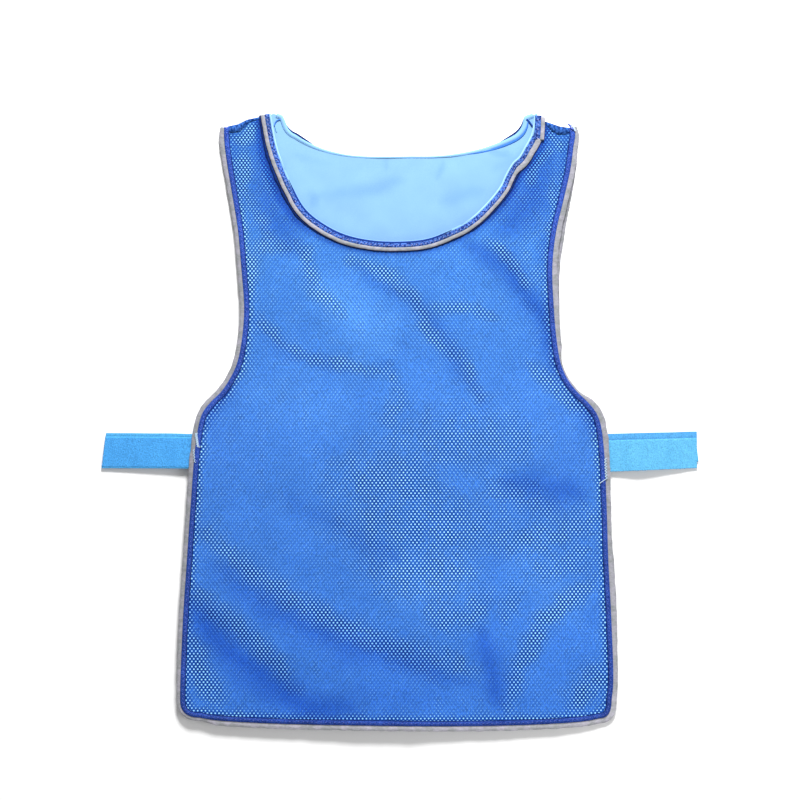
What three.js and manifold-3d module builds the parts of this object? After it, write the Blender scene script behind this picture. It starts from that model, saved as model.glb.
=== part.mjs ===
// A cooling vest of the kind that goes on over the head, laid flat on its back panel.
// Millimetres: X runs to the right, Y from the hem up to the neck, Z up from the floor.
// Each panel is a net over a lining. A flat piping shows past the side edges and the hem,
// and a short strap lies out from each side. The body goes in between the two linings.

import * as THREE from "three";
import { mergeVertices } from "three/addons/utils/BufferGeometryUtils.js";
import Module from "manifold-3d";

const wasm = await Module();
wasm.setup();

// Sizes of the panels.
const PANEL_LENGTH = 613; // hem to the two neck points
const HALF_WIDTH = 220; // middle to side edge, at the hem
const NECK_HALF_WIDTH = 132;
const NECK_OFFSET = 5.5; // the neck lies this far right of the middle
const FRONT_NECK_DROP = 128;
const BACK_NECK_DROP = 43;
const CLOTH = 1.2; // thickness of each layer
const GAP = 0.3; // clearance between layers

// Sizes of the trims.
const PIPING_SHOWS = 5.5; // width of the piping past the panel's edge
const PIPING_LAP = 9; // width of the piping under the panel
const NECK_EDGE = 1.8; // lining that shows inside the neck band
const NECK_BAND = 4.7;
const NECK_PIPING = 4.6;
const BACK_NECK_ROLL = 4.2;
const BACK_NECK_NET_SHOWS = 1.6; // back net past the roll of its lining
const SHOULDER_WRAP = 1.5; // thickness of the front net where it turns down at the shoulder

// Sizes of the straps.
const STRAP_WIDTH = 37;
const STRAP_REACH = 94; // past the side edge of the panel
const STRAP_LAP = 14; // sewn length under the front panel
const STRAP_THICKNESS = 1.6;

// How the front panel lies.
const EDGE_HEIGHT = 5; // the most that a side edge stands clear of the back panel
const POCKET_HEIGHT = 8.5; // the most that the middle stands clear of it
const POCKET_SLOPE = 62; // distance from a side edge over which the panel rises
const FOLD_HEIGHT = 2.6;
const FOLD_WIDTH = 22;

// How finely the shapes are divided.
const FRONT_CELL = 25;
const BACK_CELL = 34;
const PATH_STEP = 15;
const REACH = 60; // a cutting shape goes this far past the panels

const NET_COLOUR = "#4f8bdc";
const LINING_COLOUR = "#9bd6fd";
const PIPING_COLOUR = "#b2b1af";
const BAND_COLOUR = "#3356a8";
const STRAP_COLOUR = "#5fb8f5";

// The side edges from shoulder to hem. up is a share of the panel's length from the hem;
// left, right and peek are shares of its half width. peek is how far the back panel's
// right edge shows past the front's.
const sideRows = [
  { up: 0.972, left: 0.786, right: 0.805, peek: 0.009 },
  { up: 0.948, left: 0.784, right: 0.802, peek: 0.011 },
  { up: 0.907, left: 0.768, right: 0.786, peek: 0.012 },
  { up: 0.858, left: 0.745, right: 0.755, peek: 0.012 },
  { up: 0.809, left: 0.723, right: 0.723, peek: 0.012 },
  { up: 0.752, left: 0.709, right: 0.705, peek: 0.012 },
  { up: 0.679, left: 0.695, right: 0.712, peek: 0.012 },
  { up: 0.622, left: 0.709, right: 0.727, peek: 0.009 },
  { up: 0.589, left: 0.73, right: 0.745, peek: 0.004 },
  { up: 0.564, left: 0.764, right: 0.777, peek: 0 },
  { up: 0.545, left: 0.8, right: 0.818, peek: 0 },
  { up: 0.529, left: 0.845, right: 0.864, peek: 0 },
  { up: 0.512, left: 0.882, right: 0.902, peek: 0 },
  { up: 0.493, left: 0.9, right: 0.923, peek: 0 },
  { up: 0.45, left: 0.918, right: 0.939, peek: 0 },
  { up: 0.369, left: 0.936, right: 0.95, peek: 0 },
  { up: 0.271, left: 0.955, right: 0.959, peek: 0 },
  { up: 0.173, left: 0.973, right: 0.973, peek: 0 },
  { up: 0.068, left: 0.985, right: 0.982, peek: 0 },
];

// The hem between its rounded corners, in the same shares.
const hemRows = [
  { across: -0.832, up: 0.01 },
  { across: -0.53, up: 0.004 },
  { across: -0.19, up: 0.0016 },
  { across: 0.31, up: 0 },
  { across: 0.66, up: 0.003 },
  { across: 0.859, up: 0.008 },
];

// The neck edges, in shares of the neck's half width and of its drop.
const frontNeckRows = [
  { across: -1, down: 0 },
  { across: -0.956, down: 0.24 },
  { across: -0.905, down: 0.4 },
  { across: -0.838, down: 0.56 },
  { across: -0.735, down: 0.745 },
  { across: -0.6, down: 0.86 },
  { across: -0.435, down: 0.945 },
  { across: -0.24, down: 0.99 },
  { across: -0.02, down: 1 },
  { across: 0.18, down: 0.98 },
  { across: 0.33, down: 0.925 },
  { across: 0.49, down: 0.84 },
  { across: 0.62, down: 0.72 },
  { across: 0.74, down: 0.57 },
  { across: 0.84, down: 0.42 },
  { across: 0.92, down: 0.27 },
  { across: 0.975, down: 0.16 },
  { across: 1, down: 0 },
];
const backNeckRows = [
  { across: -0.985, down: 0 },
  { across: -0.87, down: 0.38 },
  { across: -0.77, down: 0.64 },
  { across: -0.66, down: 0.81 },
  { across: -0.5, down: 0.94 },
  { across: -0.28, down: 1 },
  { across: 0.05, down: 1 },
  { across: 0.27, down: 0.99 },
  { across: 0.47, down: 0.91 },
  { across: 0.66, down: 0.76 },
  { across: 0.85, down: 0.5 },
  { across: 0.93, down: 0.26 },
  { across: 0.985, down: 0 },
];

// The two shoulder folds, in shares of the panel's half width and length.
const shoulderRows = [
  { across: -0.803, up: 0.974 },
  { across: -0.72, up: 0.984 },
  { across: -0.61, up: 0.994 },
  { across: -0.568, up: 1 },
  { across: 0.627, up: 0.9985 },
  { across: 0.668, up: 0.991 },
  { across: 0.75, up: 0.977 },
  { across: 0.808, up: 0.9735 },
];

// How high the front lies at its edges and in the middle, as shares of the edge height
// and of the pocket height.
const heightRows = [
  { up: 0, left: 0.9, middle: 0.76, right: 0.1 },
  { up: 0.15, left: 0.55, middle: 0.84, right: 0.3 },
  { up: 0.35, left: 0.7, middle: 0.85, right: 0.55 },
  { up: 0.45, left: 0.95, middle: 0.95, right: 0.7 },
  { up: 0.56, left: 0.4, middle: 1, right: 0.4 },
  { up: 0.7, left: 0.25, middle: 0.95, right: 0.3 },
  { up: 0.82, left: 0.2, middle: 0.72, right: 0.25 },
  { up: 0.92, left: 0.16, middle: 0.35, right: 0.16 },
  { up: 1, left: 0.1, middle: 0.1, right: 0.1 },
];

// The folds of the front panel, from one end to the other, in shares of the panel's half
// width and length. rise is a share of the fold height, below zero for a crease, and
// spread is a share of the fold width.
const frontFolds = [
  { name: "upper_left_ridge", across: [-0.5, 0.0], up: [0.71, 0.62], rise: 0.7, spread: 1.0 },
  { name: "armhole_left_crease", across: [-0.64, 0.01], up: [0.67, 0.53], rise: -0.8, spread: 0.7 },
  { name: "chest_left_crease", across: [-0.65, -0.25], up: [0.78, 0.67], rise: -0.5, spread: 0.6 },
  { name: "chest_right_crease", across: [-0.2, 0.39], up: [0.755, 0.53], rise: -0.7, spread: 0.8 },
  { name: "neck_right_crease", across: [0.32, 0.71], up: [0.77, 0.64], rise: -0.6, spread: 0.8 },
  { name: "armhole_right_crease", across: [0.59, 0.92], up: [0.6, 0.48], rise: -0.7, spread: 0.8 },
  { name: "middle_right_ridge", across: [0.15, 0.75], up: [0.5, 0.47], rise: 0.7, spread: 1.2 },
  { name: "middle_ridge", across: [-0.55, 0.1], up: [0.42, 0.3], rise: 0.5, spread: 1.6 },
  { name: "side_left_crease", across: [-0.88, 0.32], up: [0.3, 0.08], rise: -0.8, spread: 0.8 },
  { name: "low_left_ridge", across: [-0.8, -0.1], up: [0.23, 0.05], rise: 0.8, spread: 0.8 },
  { name: "hem_left_crease", across: [-0.93, -0.35], up: [0.18, 0.03], rise: -0.7, spread: 0.6 },
  { name: "side_right_crease", across: [0.92, 0.5], up: [0.24, 0.03], rise: -0.7, spread: 0.8 },
  { name: "low_right_ridge", across: [0.25, 0.6], up: [0.22, 0.12], rise: 0.6, spread: 1.1 },
  { name: "shoulder_left_crease", across: [-0.66, -0.55], up: [0.93, 0.76], rise: -0.3, spread: 0.7 },
  { name: "shoulder_right_crease", across: [0.68, 0.5], up: [0.92, 0.75], rise: -0.3, spread: 0.7 },
];

// The folds of the back lining where the neck shows it.
const backFolds = [
  { name: "neck_left_fold", across: [-0.42, -0.2], up: [0.9, 0.8], rise: 0.5, spread: 0.5 },
  { name: "neck_middle_fold", across: [-0.1, 0.12], up: [0.88, 0.83], rise: 0.35, spread: 0.5 },
  { name: "neck_right_fold", across: [0.48, 0.25], up: [0.91, 0.82], rise: 0.5, spread: 0.5 },
];

// The straps. The widths are shares of the strap width, the heights up are shares of the
// panel's length, and slant is how far the end leans, as a share of the width. lift and
// bow are shares of the edge height, at the free end and halfway.
const strapRows = [
  {
    name: "left_strap",
    side: -1,
    rootWidth: 0.94,
    endWidth: 0.94,
    rootUp: 0.4486,
    endUp: 0.4494,
    slant: 0.12,
    lift: 0.3,
    bow: 0,
  },
  {
    name: "right_strap",
    side: 1,
    rootWidth: 1.045,
    endWidth: 0.99,
    rootUp: 0.4448,
    endUp: 0.4507,
    slant: 0.02,
    lift: 0,
    bow: 0.3,
  },
];

// Paths.

function smoothPath(points) {
  const curve = new THREE.CatmullRomCurve3(points, false, "centripetal");
  return curve.getSpacedPoints(Math.ceil(curve.getLength() / PATH_STEP));
}

function sidePoint(row, side, peeks) {
  const share = side < 0 ? -row.left : row.right + (peeks ? row.peek : 0);
  return new THREE.Vector3(share * HALF_WIDTH, row.up * PANEL_LENGTH, 0);
}

function cornerPath(from, to) {
  const corner = new THREE.Vector3(from.y > to.y ? from.x : to.x, Math.min(from.y, to.y), 0);
  const curve = new THREE.QuadraticBezierCurve3(from, corner, to);
  return curve.getPoints(6).slice(1, -1);
}

// From the left shoulder down, along the hem and up to the right shoulder.
function panelPath(peeks) {
  const left = smoothPath(sideRows.map((row) => sidePoint(row, -1, peeks)));
  const right = smoothPath(sideRows.map((row) => sidePoint(row, 1, peeks))).reverse();
  const hem = smoothPath(
    hemRows.map((row) => new THREE.Vector3(row.across * HALF_WIDTH, row.up * PANEL_LENGTH, 0)),
  );
  const leftCorner = cornerPath(left.at(-1), hem[0]);
  const rightCorner = cornerPath(hem.at(-1), right[0]);
  return [...left, ...leftCorner, ...hem, ...rightCorner, ...right];
}

function neckPath(rows, drop) {
  const points = rows.map(
    (row) =>
      new THREE.Vector3(
        NECK_OFFSET + row.across * NECK_HALF_WIDTH,
        PANEL_LENGTH - row.down * drop,
        0,
      ),
  );
  return smoothPath(points);
}

function shoulderPath() {
  const points = shoulderRows.map(
    (row) => new THREE.Vector3(row.across * HALF_WIDTH, row.up * PANEL_LENGTH, 0),
  );
  const first = points[0];
  const last = points.at(-1);
  points.unshift(new THREE.Vector3(first.x - REACH, first.y, 0));
  points.push(new THREE.Vector3(last.x + REACH, last.y, 0));
  return points;
}

// Moves a path sideways, to its right as it runs.
function shifted(path, distance) {
  return path.map((point, i) => {
    const before = path[Math.max(0, i - 1)];
    const after = path[Math.min(path.length - 1, i + 1)];
    const along = after.clone().sub(before).normalize();
    return new THREE.Vector3(point.x + along.y * distance, point.y - along.x * distance, 0);
  });
}

// Solids.

function solidOf(geometry) {
  const bare = geometry.clone();
  bare.deleteAttribute("normal");
  bare.deleteAttribute("uv");
  const merged = mergeVertices(bare, 1e-5);
  return new wasm.Manifold(
    new wasm.Mesh({
      numProp: 3,
      vertProperties: new Float32Array(merged.attributes.position.array),
      triVerts: new Uint32Array(merged.index.array),
    }),
  );
}

// The space over an outline, taller than the vest.
function prism(points) {
  const shape = new THREE.Shape(points.map((p) => new THREE.Vector2(p.x, p.y)));
  const geometry = new THREE.ExtrudeGeometry(shape, { depth: 2 * REACH, bevelEnabled: false });
  geometry.translate(0, 0, -REACH);
  return solidOf(geometry);
}

// The space over a path and everything beyond it towards the shoulders.
function prismAbove(path) {
  const top = PANEL_LENGTH + REACH;
  const first = path[0];
  const last = path.at(-1);
  return prism([
    ...path,
    new THREE.Vector3(last.x, top, 0),
    new THREE.Vector3(first.x, top, 0),
  ]);
}

function lines(from, to, step) {
  const count = Math.ceil((to - from) / step);
  return Array.from({ length: count + 1 }, (_, i) => from + ((to - from) * i) / count);
}

// A sheet between two heights over a grid. Every sheet on one grid has the same diagonals,
// so sheets at different levels stay parallel.
function sheet(xs, ys, low, high) {
  const positions = [];
  for (const height of [low, high]) {
    for (const y of ys) {
      for (const x of xs) {
        positions.push(x, y, height(x, y));
      }
    }
  }
  const columns = xs.length;
  const layer = columns * ys.length;
  const at = (i, j, level) => level * layer + j * columns + i;
  const faces = [];
  const quad = (a, b, c, d) => faces.push(a, b, c, a, c, d);
  for (let j = 0; j + 1 < ys.length; j += 1) {
    for (let i = 0; i + 1 < columns; i += 1) {
      quad(at(i, j, 1), at(i + 1, j, 1), at(i + 1, j + 1, 1), at(i, j + 1, 1));
      faces.push(at(i, j, 0), at(i + 1, j + 1, 0), at(i + 1, j, 0));
      faces.push(at(i, j, 0), at(i, j + 1, 0), at(i + 1, j + 1, 0));
    }
  }
  const lastRow = ys.length - 1;
  for (let i = 0; i + 1 < columns; i += 1) {
    quad(at(i, 0, 0), at(i + 1, 0, 0), at(i + 1, 0, 1), at(i, 0, 1));
    quad(at(i + 1, lastRow, 0), at(i, lastRow, 0), at(i, lastRow, 1), at(i + 1, lastRow, 1));
  }
  const lastColumn = columns - 1;
  for (let j = 0; j + 1 < ys.length; j += 1) {
    quad(at(0, j + 1, 0), at(0, j, 0), at(0, j, 1), at(0, j + 1, 1));
    quad(at(lastColumn, j, 0), at(lastColumn, j + 1, 0), at(lastColumn, j + 1, 1), at(lastColumn, j, 1));
  }
  const geometry = new THREE.BufferGeometry();
  geometry.setAttribute("position", new THREE.Float32BufferAttribute(positions, 3));
  geometry.setIndex(faces);
  return solidOf(geometry);
}

// Heights of the two panels.

const BACK_LINING_LEVEL = CLOTH + GAP;
const BACK_TOP = BACK_LINING_LEVEL + CLOTH;
const FRONT_LEVEL = BACK_TOP + GAP;
const NET_OVER_LINING = CLOTH + GAP;

function fromRows(rows, up, column) {
  const next = rows.findIndex((row) => row.up >= up);
  if (next === -1) {
    return rows.at(-1)[column];
  }
  if (next === 0) {
    return rows[0][column];
  }
  const a = rows[next - 1];
  const b = rows[next];
  const t = THREE.MathUtils.smoothstep(up, a.up, b.up);
  return THREE.MathUtils.lerp(a[column], b[column], t);
}

const sidesUpward = [...sideRows].reverse();

function foldHeight(folds, x, y) {
  let height = 0;
  for (const fold of folds) {
    const from = new THREE.Vector2(fold.across[0] * HALF_WIDTH, fold.up[0] * PANEL_LENGTH);
    const to = new THREE.Vector2(fold.across[1] * HALF_WIDTH, fold.up[1] * PANEL_LENGTH);
    const along = to.clone().sub(from);
    const point = new THREE.Vector2(x, y).sub(from);
    const share = THREE.MathUtils.clamp(point.dot(along) / along.lengthSq(), 0, 1);
    const away = point.distanceTo(along.clone().multiplyScalar(share));
    const width = fold.spread * FOLD_WIDTH;
    const ends = 0.5 + 0.5 * Math.sin(Math.PI * share);
    height += fold.rise * FOLD_HEIGHT * ends * Math.exp(-((away / width) ** 2));
  }
  return height;
}

// The underside of the front lining.
function frontUnderside(x, y) {
  const up = y / PANEL_LENGTH;
  const fromLeft = x + fromRows(sidesUpward, up, "left") * HALF_WIDTH;
  const fromRight = fromRows(sidesUpward, up, "right") * HALF_WIDTH - x;
  const left = Math.exp(-Math.max(0, fromLeft) / POCKET_SLOPE);
  const right = Math.exp(-Math.max(0, fromRight) / POCKET_SLOPE);
  const edges =
    left * fromRows(heightRows, up, "left") + right * fromRows(heightRows, up, "right");
  const middle = (1 - left) * (1 - right) * fromRows(heightRows, up, "middle");
  const lifted = EDGE_HEIGHT * edges + POCKET_HEIGHT * middle;
  const fold = foldHeight(frontFolds, x, y) * (1 - left) * (1 - right);
  return FRONT_LEVEL + Math.max(0, lifted + fold);
}

function backLiningUnderside(x, y) {
  return BACK_LINING_LEVEL + foldHeight(backFolds, x, y);
}

const frontXs = lines(-HALF_WIDTH - STRAP_REACH, HALF_WIDTH + STRAP_REACH, FRONT_CELL);
const frontYs = lines(-FRONT_CELL, PANEL_LENGTH + FRONT_CELL, FRONT_CELL);
const backXs = lines(-HALF_WIDTH - BACK_CELL, HALF_WIDTH + BACK_CELL, BACK_CELL);
const backYs = lines(-BACK_CELL, PANEL_LENGTH + BACK_CELL, BACK_CELL);

// A layer of the front panel, from one level to another above its underside.
function frontLayer(from, to) {
  return sheet(
    frontXs,
    frontYs,
    (x, y) => frontUnderside(x, y) + from,
    (x, y) => frontUnderside(x, y) + to,
  );
}

function flatLayer(from, to) {
  const wide = HALF_WIDTH + REACH;
  const slab = new THREE.BoxGeometry(2 * wide, PANEL_LENGTH + 2 * REACH, to - from);
  slab.translate(0, PANEL_LENGTH / 2, (from + to) / 2);
  return solidOf(slab);
}

const frontEdge = panelPath(false);
const backEdge = panelPath(true);
const frontNeck = neckPath(frontNeckRows, FRONT_NECK_DROP);
const backNeck = neckPath(backNeckRows, BACK_NECK_DROP);
const shoulders = shoulderPath();

const insideFront = (outward) => prismAbove(shifted(frontEdge, outward));
const insideBack = (outward) => prismAbove(shifted(backEdge, outward));
const frontNeckHole = (wider) => prismAbove(shifted(frontNeck, wider));
const backNeckHole = (wider) => prismAbove(shifted(backNeck, wider));
const pastShoulders = (lower) => prismAbove(shifted(shoulders, lower));

const liningInset = PIPING_LAP + GAP;
const shoulderInset = SHOULDER_WRAP + GAP;

// Pieces.

function frontNet() {
  const netEdge = NECK_EDGE + NECK_BAND + GAP;
  const panel = frontLayer(NET_OVER_LINING, NET_OVER_LINING + CLOTH);
  const wrap = sheet(
    frontXs,
    frontYs,
    () => CLOTH + GAP,
    (x, y) => frontUnderside(x, y) + NET_OVER_LINING + CLOTH / 2,
  ).intersect(pastShoulders(SHOULDER_WRAP));
  return panel
    .add(wrap)
    .intersect(insideFront(0))
    .subtract(frontNeckHole(netEdge))
    .subtract(pastShoulders(0));
}

function frontLining() {
  return frontLayer(0, CLOTH)
    .intersect(insideFront(-liningInset))
    .subtract(frontNeckHole(0))
    .subtract(pastShoulders(shoulderInset));
}

function frontPiping() {
  return frontLayer(0, CLOTH)
    .intersect(insideFront(PIPING_SHOWS))
    .subtract(insideFront(-PIPING_LAP))
    .subtract(pastShoulders(shoulderInset));
}

function neckBand() {
  return frontLayer(NET_OVER_LINING, NET_OVER_LINING + CLOTH)
    .intersect(frontNeckHole(NECK_EDGE + NECK_BAND))
    .subtract(frontNeckHole(NECK_EDGE))
    .subtract(pastShoulders(0));
}

function neckPiping() {
  const level = 2 * NET_OVER_LINING;
  const start = NECK_EDGE + NECK_BAND;
  return frontLayer(level, level + CLOTH)
    .intersect(frontNeckHole(start + NECK_PIPING))
    .subtract(frontNeckHole(start))
    .subtract(pastShoulders(0));
}

function backNet() {
  return flatLayer(0, CLOTH)
    .intersect(insideBack(0))
    .subtract(backNeckHole(-BACK_NECK_NET_SHOWS))
    .subtract(pastShoulders(0));
}

function backLining() {
  const panel = sheet(
    backXs,
    backYs,
    backLiningUnderside,
    (x, y) => backLiningUnderside(x, y) + CLOTH,
  );
  return panel
    .intersect(insideBack(-liningInset))
    .subtract(backNeckHole(BACK_NECK_ROLL + GAP))
    .subtract(pastShoulders(shoulderInset));
}

function backPiping() {
  return flatLayer(BACK_LINING_LEVEL, BACK_TOP)
    .intersect(insideBack(PIPING_SHOWS))
    .subtract(insideBack(-PIPING_LAP))
    .subtract(pastShoulders(shoulderInset));
}

// The roll of lining round the back of the neck, a little prouder than the lining.
function backNeckRoll() {
  return flatLayer(BACK_LINING_LEVEL, BACK_TOP + CLOTH / 2)
    .intersect(backNeckHole(BACK_NECK_ROLL))
    .subtract(backNeckHole(0))
    .subtract(frontNeckHoleOutside())
    .subtract(pastShoulders(shoulderInset));
}

// Everything that the front panel covers near the neck.
function frontNeckHoleOutside() {
  const wide = HALF_WIDTH + REACH;
  const cover = new THREE.BoxGeometry(2 * wide, 2 * PANEL_LENGTH, 2 * REACH);
  return solidOf(cover).subtract(frontNeckHole(-GAP));
}

function strap(row) {
  const root = fromRows(sidesUpward, row.rootUp, row.side < 0 ? "left" : "right") * HALF_WIDTH;
  const rootY = row.rootUp * PANEL_LENGTH;
  const endY = row.endUp * PANEL_LENGTH;
  const rootHalf = (row.rootWidth * STRAP_WIDTH) / 2;
  const endHalf = (row.endWidth * STRAP_WIDTH) / 2;
  const endTop = root + STRAP_REACH - row.slant * STRAP_WIDTH;
  const corners = [
    [root - STRAP_LAP, rootY - rootHalf],
    [root - STRAP_LAP, rootY + rootHalf],
    [root, rootY + rootHalf],
    [endTop, endY + endHalf],
    [root + STRAP_REACH, endY - endHalf],
    [root, rootY - rootHalf],
  ];
  const outline = prism(corners.map(([x, y]) => new THREE.Vector3(row.side * x, y, 0)));
  const under = STRAP_THICKNESS + GAP;
  const rootHeight = frontUnderside(row.side * root, rootY) - under;
  const low = (x, y) => {
    const share = THREE.MathUtils.clamp((row.side * x - root) / STRAP_REACH, 0, 1);
    const straight = THREE.MathUtils.lerp(rootHeight, row.lift * EDGE_HEIGHT, share);
    const bowed = straight + 4 * share * (1 - share) * row.bow * EDGE_HEIGHT;
    return share === 0 ? frontUnderside(x, y) - under : Math.min(frontUnderside(x, y) - under, bowed);
  };
  return sheet(frontXs, frontYs, low, (x, y) => low(x, y) + STRAP_THICKNESS).intersect(outline);
}

// The vest.

const group = new THREE.Group();

function addPiece(name, solid, colour, roughness) {
  const { vertProperties, triVerts } = solid.getMesh();
  const geometry = new THREE.BufferGeometry();
  geometry.setAttribute("position", new THREE.BufferAttribute(new Float32Array(vertProperties), 3));
  geometry.setIndex(Array.from(triVerts));
  geometry.computeVertexNormals();
  const material = new THREE.MeshStandardMaterial({ color: colour, roughness, metalness: 0 });
  const mesh = new THREE.Mesh(geometry, material);
  mesh.name = name;
  group.add(mesh);
}

addPiece("back_net", backNet(), NET_COLOUR, 0.85);
addPiece("back_lining", backLining(), LINING_COLOUR, 0.7);
addPiece("back_piping", backPiping(), PIPING_COLOUR, 0.8);
addPiece("back_neck_roll", backNeckRoll(), LINING_COLOUR, 0.7);
addPiece("front_lining", frontLining(), LINING_COLOUR, 0.7);
addPiece("front_piping", frontPiping(), PIPING_COLOUR, 0.8);
addPiece("front_net", frontNet(), NET_COLOUR, 0.85);
addPiece("neck_band", neckBand(), BAND_COLOUR, 0.8);
addPiece("neck_piping", neckPiping(), PIPING_COLOUR, 0.8);
for (const row of strapRows) {
  addPiece(row.name, strap(row), STRAP_COLOUR, 0.9);
}

// The origin is on the floor, under the middle of the vest.
const bounds = new THREE.Box3().setFromObject(group, true);
const middle = bounds.getCenter(new THREE.Vector3());
group.position.set(-middle.x, -middle.y, -bounds.min.z);

export default group;
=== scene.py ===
"""A pull-over cooling vest lying on its back panel, seen from straight above.

Everything is in metres in the frame of the CAD: X to the right, Y from the hem to the neck,
Z up from the floor. The heights of the front panel come from the CAD's front net, and every
cloth piece here is laid over them. Outlines are short tables of shares of the named sizes.
"""

import math

import bmesh
import bpy
import numpy as np
from mathutils import Matrix, Vector, noise
from mathutils.bvhtree import BVHTree


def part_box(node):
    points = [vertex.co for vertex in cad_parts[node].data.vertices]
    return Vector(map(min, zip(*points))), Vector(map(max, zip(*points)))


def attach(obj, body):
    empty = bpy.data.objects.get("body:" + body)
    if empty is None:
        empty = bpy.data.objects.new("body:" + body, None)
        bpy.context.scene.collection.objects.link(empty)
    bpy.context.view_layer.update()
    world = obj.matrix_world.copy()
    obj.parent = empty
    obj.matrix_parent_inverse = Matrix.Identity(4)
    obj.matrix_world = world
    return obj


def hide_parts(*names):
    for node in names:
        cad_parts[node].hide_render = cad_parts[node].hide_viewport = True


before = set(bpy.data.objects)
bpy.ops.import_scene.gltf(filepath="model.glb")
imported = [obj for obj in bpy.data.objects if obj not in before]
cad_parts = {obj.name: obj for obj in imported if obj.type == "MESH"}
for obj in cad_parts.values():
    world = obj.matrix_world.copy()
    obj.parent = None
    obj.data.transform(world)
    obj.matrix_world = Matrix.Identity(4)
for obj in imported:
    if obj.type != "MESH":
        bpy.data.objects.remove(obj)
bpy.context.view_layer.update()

MM = 0.001

# Sizes of the panels, as in the CAD.
PANEL_LENGTH = 613 * MM
HALF_WIDTH = 220 * MM
NECK_HALF_WIDTH = 132 * MM
NECK_OFFSET = 5.5 * MM
FRONT_NECK_DROP = 128 * MM
BACK_NECK_DROP = 43 * MM
CLOTH = 1.2 * MM

# What shows at the edges. At the neck they follow each other from the opening outwards.
PIPING_SHOWS = 5.6 * MM
HEM_PIPING = 0.96 * PIPING_SHOWS
EDGE_BAND = 4.6 * MM
NECK_EDGE = 1.8 * MM
NECK_BAND = 4.7 * MM
NECK_PIPING = 3.9 * MM
PIPING_START = NECK_EDGE + NECK_BAND

# The net.
HOLE_PITCH = (3.88 * MM, 5.18 * MM)  # each cell of this size has two holes
OPEN_HOLE = (0.92 * MM, 1.13 * MM)  # half width and half height where the net is drawn tight
CLOSED_HOLE = (0.46 * MM, 1.16 * MM)
HOLE_CUT = 0.9 * MM  # how far from its middle a hole is cut before it is given its shape
HOLE_LEAN = 0.62  # how far slack holes lean, in radians

# The net is drawn in at the shoulders, where its rows and columns lie closer.
DRAWN_FROM = 0.70  # share of the length
DRAWN_OVER = 0.12  # share of the length over which it grows
DRAWN_MIDDLES = (-0.67, 0.70)  # the shoulders' middles, in shares of the half width
DRAWN_REACH = 0.28
CLOSER_COLUMNS = 0.12
CLOSER_ROWS = 0.11

# The side edges from shoulder to hem, in shares of the panel's length and half width.
SIDE_ROWS = [
    {"up": 0.9775, "left": 0.786, "right": 0.799, "peek": 0.003},
    {"up": 0.966, "left": 0.787, "right": 0.809, "peek": 0.006},
    {"up": 0.948, "left": 0.784, "right": 0.802, "peek": 0.011},
    {"up": 0.907, "left": 0.768, "right": 0.786, "peek": 0.012},
    {"up": 0.858, "left": 0.745, "right": 0.755, "peek": 0.012},
    {"up": 0.809, "left": 0.723, "right": 0.723, "peek": 0.012},
    {"up": 0.752, "left": 0.709, "right": 0.705, "peek": 0.012},
    {"up": 0.679, "left": 0.695, "right": 0.712, "peek": 0.012},
    {"up": 0.622, "left": 0.709, "right": 0.727, "peek": 0.009},
    {"up": 0.589, "left": 0.730, "right": 0.745, "peek": 0.004},
    {"up": 0.564, "left": 0.764, "right": 0.777, "peek": 0.0},
    {"up": 0.545, "left": 0.800, "right": 0.818, "peek": 0.0},
    {"up": 0.529, "left": 0.845, "right": 0.864, "peek": 0.0},
    {"up": 0.512, "left": 0.882, "right": 0.902, "peek": 0.0},
    {"up": 0.493, "left": 0.900, "right": 0.923, "peek": 0.0},
    {"up": 0.450, "left": 0.918, "right": 0.939, "peek": 0.0},
    {"up": 0.369, "left": 0.936, "right": 0.950, "peek": 0.0},
    {"up": 0.271, "left": 0.955, "right": 0.959, "peek": 0.0},
    {"up": 0.173, "left": 0.973, "right": 0.973, "peek": 0.0},
    {"up": 0.068, "left": 0.985, "right": 0.982, "peek": 0.0},
    {"up": 0.042, "left": 0.986, "right": 0.975, "peek": 0.0},
]
HEM_ROWS = [
    {"across": -0.895, "up": 0.0139},
    {"across": -0.832, "up": 0.010},
    {"across": -0.530, "up": 0.004},
    {"across": -0.190, "up": 0.0016},
    {"across": 0.310, "up": 0.0},
    {"across": 0.660, "up": 0.003},
    {"across": 0.859, "up": 0.008},
    {"across": 0.925, "up": 0.0125},
]
SHOULDER_ROWS = [
    {"across": -1.075, "up": 0.977},
    {"across": -0.800, "up": 0.977},
    {"across": -0.732, "up": 0.981},
    {"across": -0.682, "up": 0.990},
    {"across": -0.614, "up": 0.995},
    {"across": -0.568, "up": 1.0},
    {"across": 0.627, "up": 0.9985},
    {"across": 0.655, "up": 0.989},
    {"across": 0.745, "up": 0.978},
    {"across": 0.800, "up": 0.976},
    {"across": 1.080, "up": 0.976},
]
# The neck edges, in shares of the neck's half width and drop.
FRONT_NECK_ROWS = [
    {"across": -1.0, "down": 0.0},
    {"across": -0.956, "down": 0.24},
    {"across": -0.905, "down": 0.40},
    {"across": -0.838, "down": 0.56},
    {"across": -0.735, "down": 0.745},
    {"across": -0.600, "down": 0.86},
    {"across": -0.435, "down": 0.945},
    {"across": -0.240, "down": 0.99},
    {"across": -0.020, "down": 1.0},
    {"across": 0.180, "down": 0.98},
    {"across": 0.330, "down": 0.925},
    {"across": 0.490, "down": 0.84},
    {"across": 0.620, "down": 0.72},
    {"across": 0.738, "down": 0.57},
    {"across": 0.774, "down": 0.49},
    {"across": 0.808, "down": 0.425},
    {"across": 0.838, "down": 0.38},
    {"across": 0.880, "down": 0.34},
    {"across": 0.920, "down": 0.27},
    {"across": 0.975, "down": 0.16},
    {"across": 1.0, "down": 0.0},
]
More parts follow.
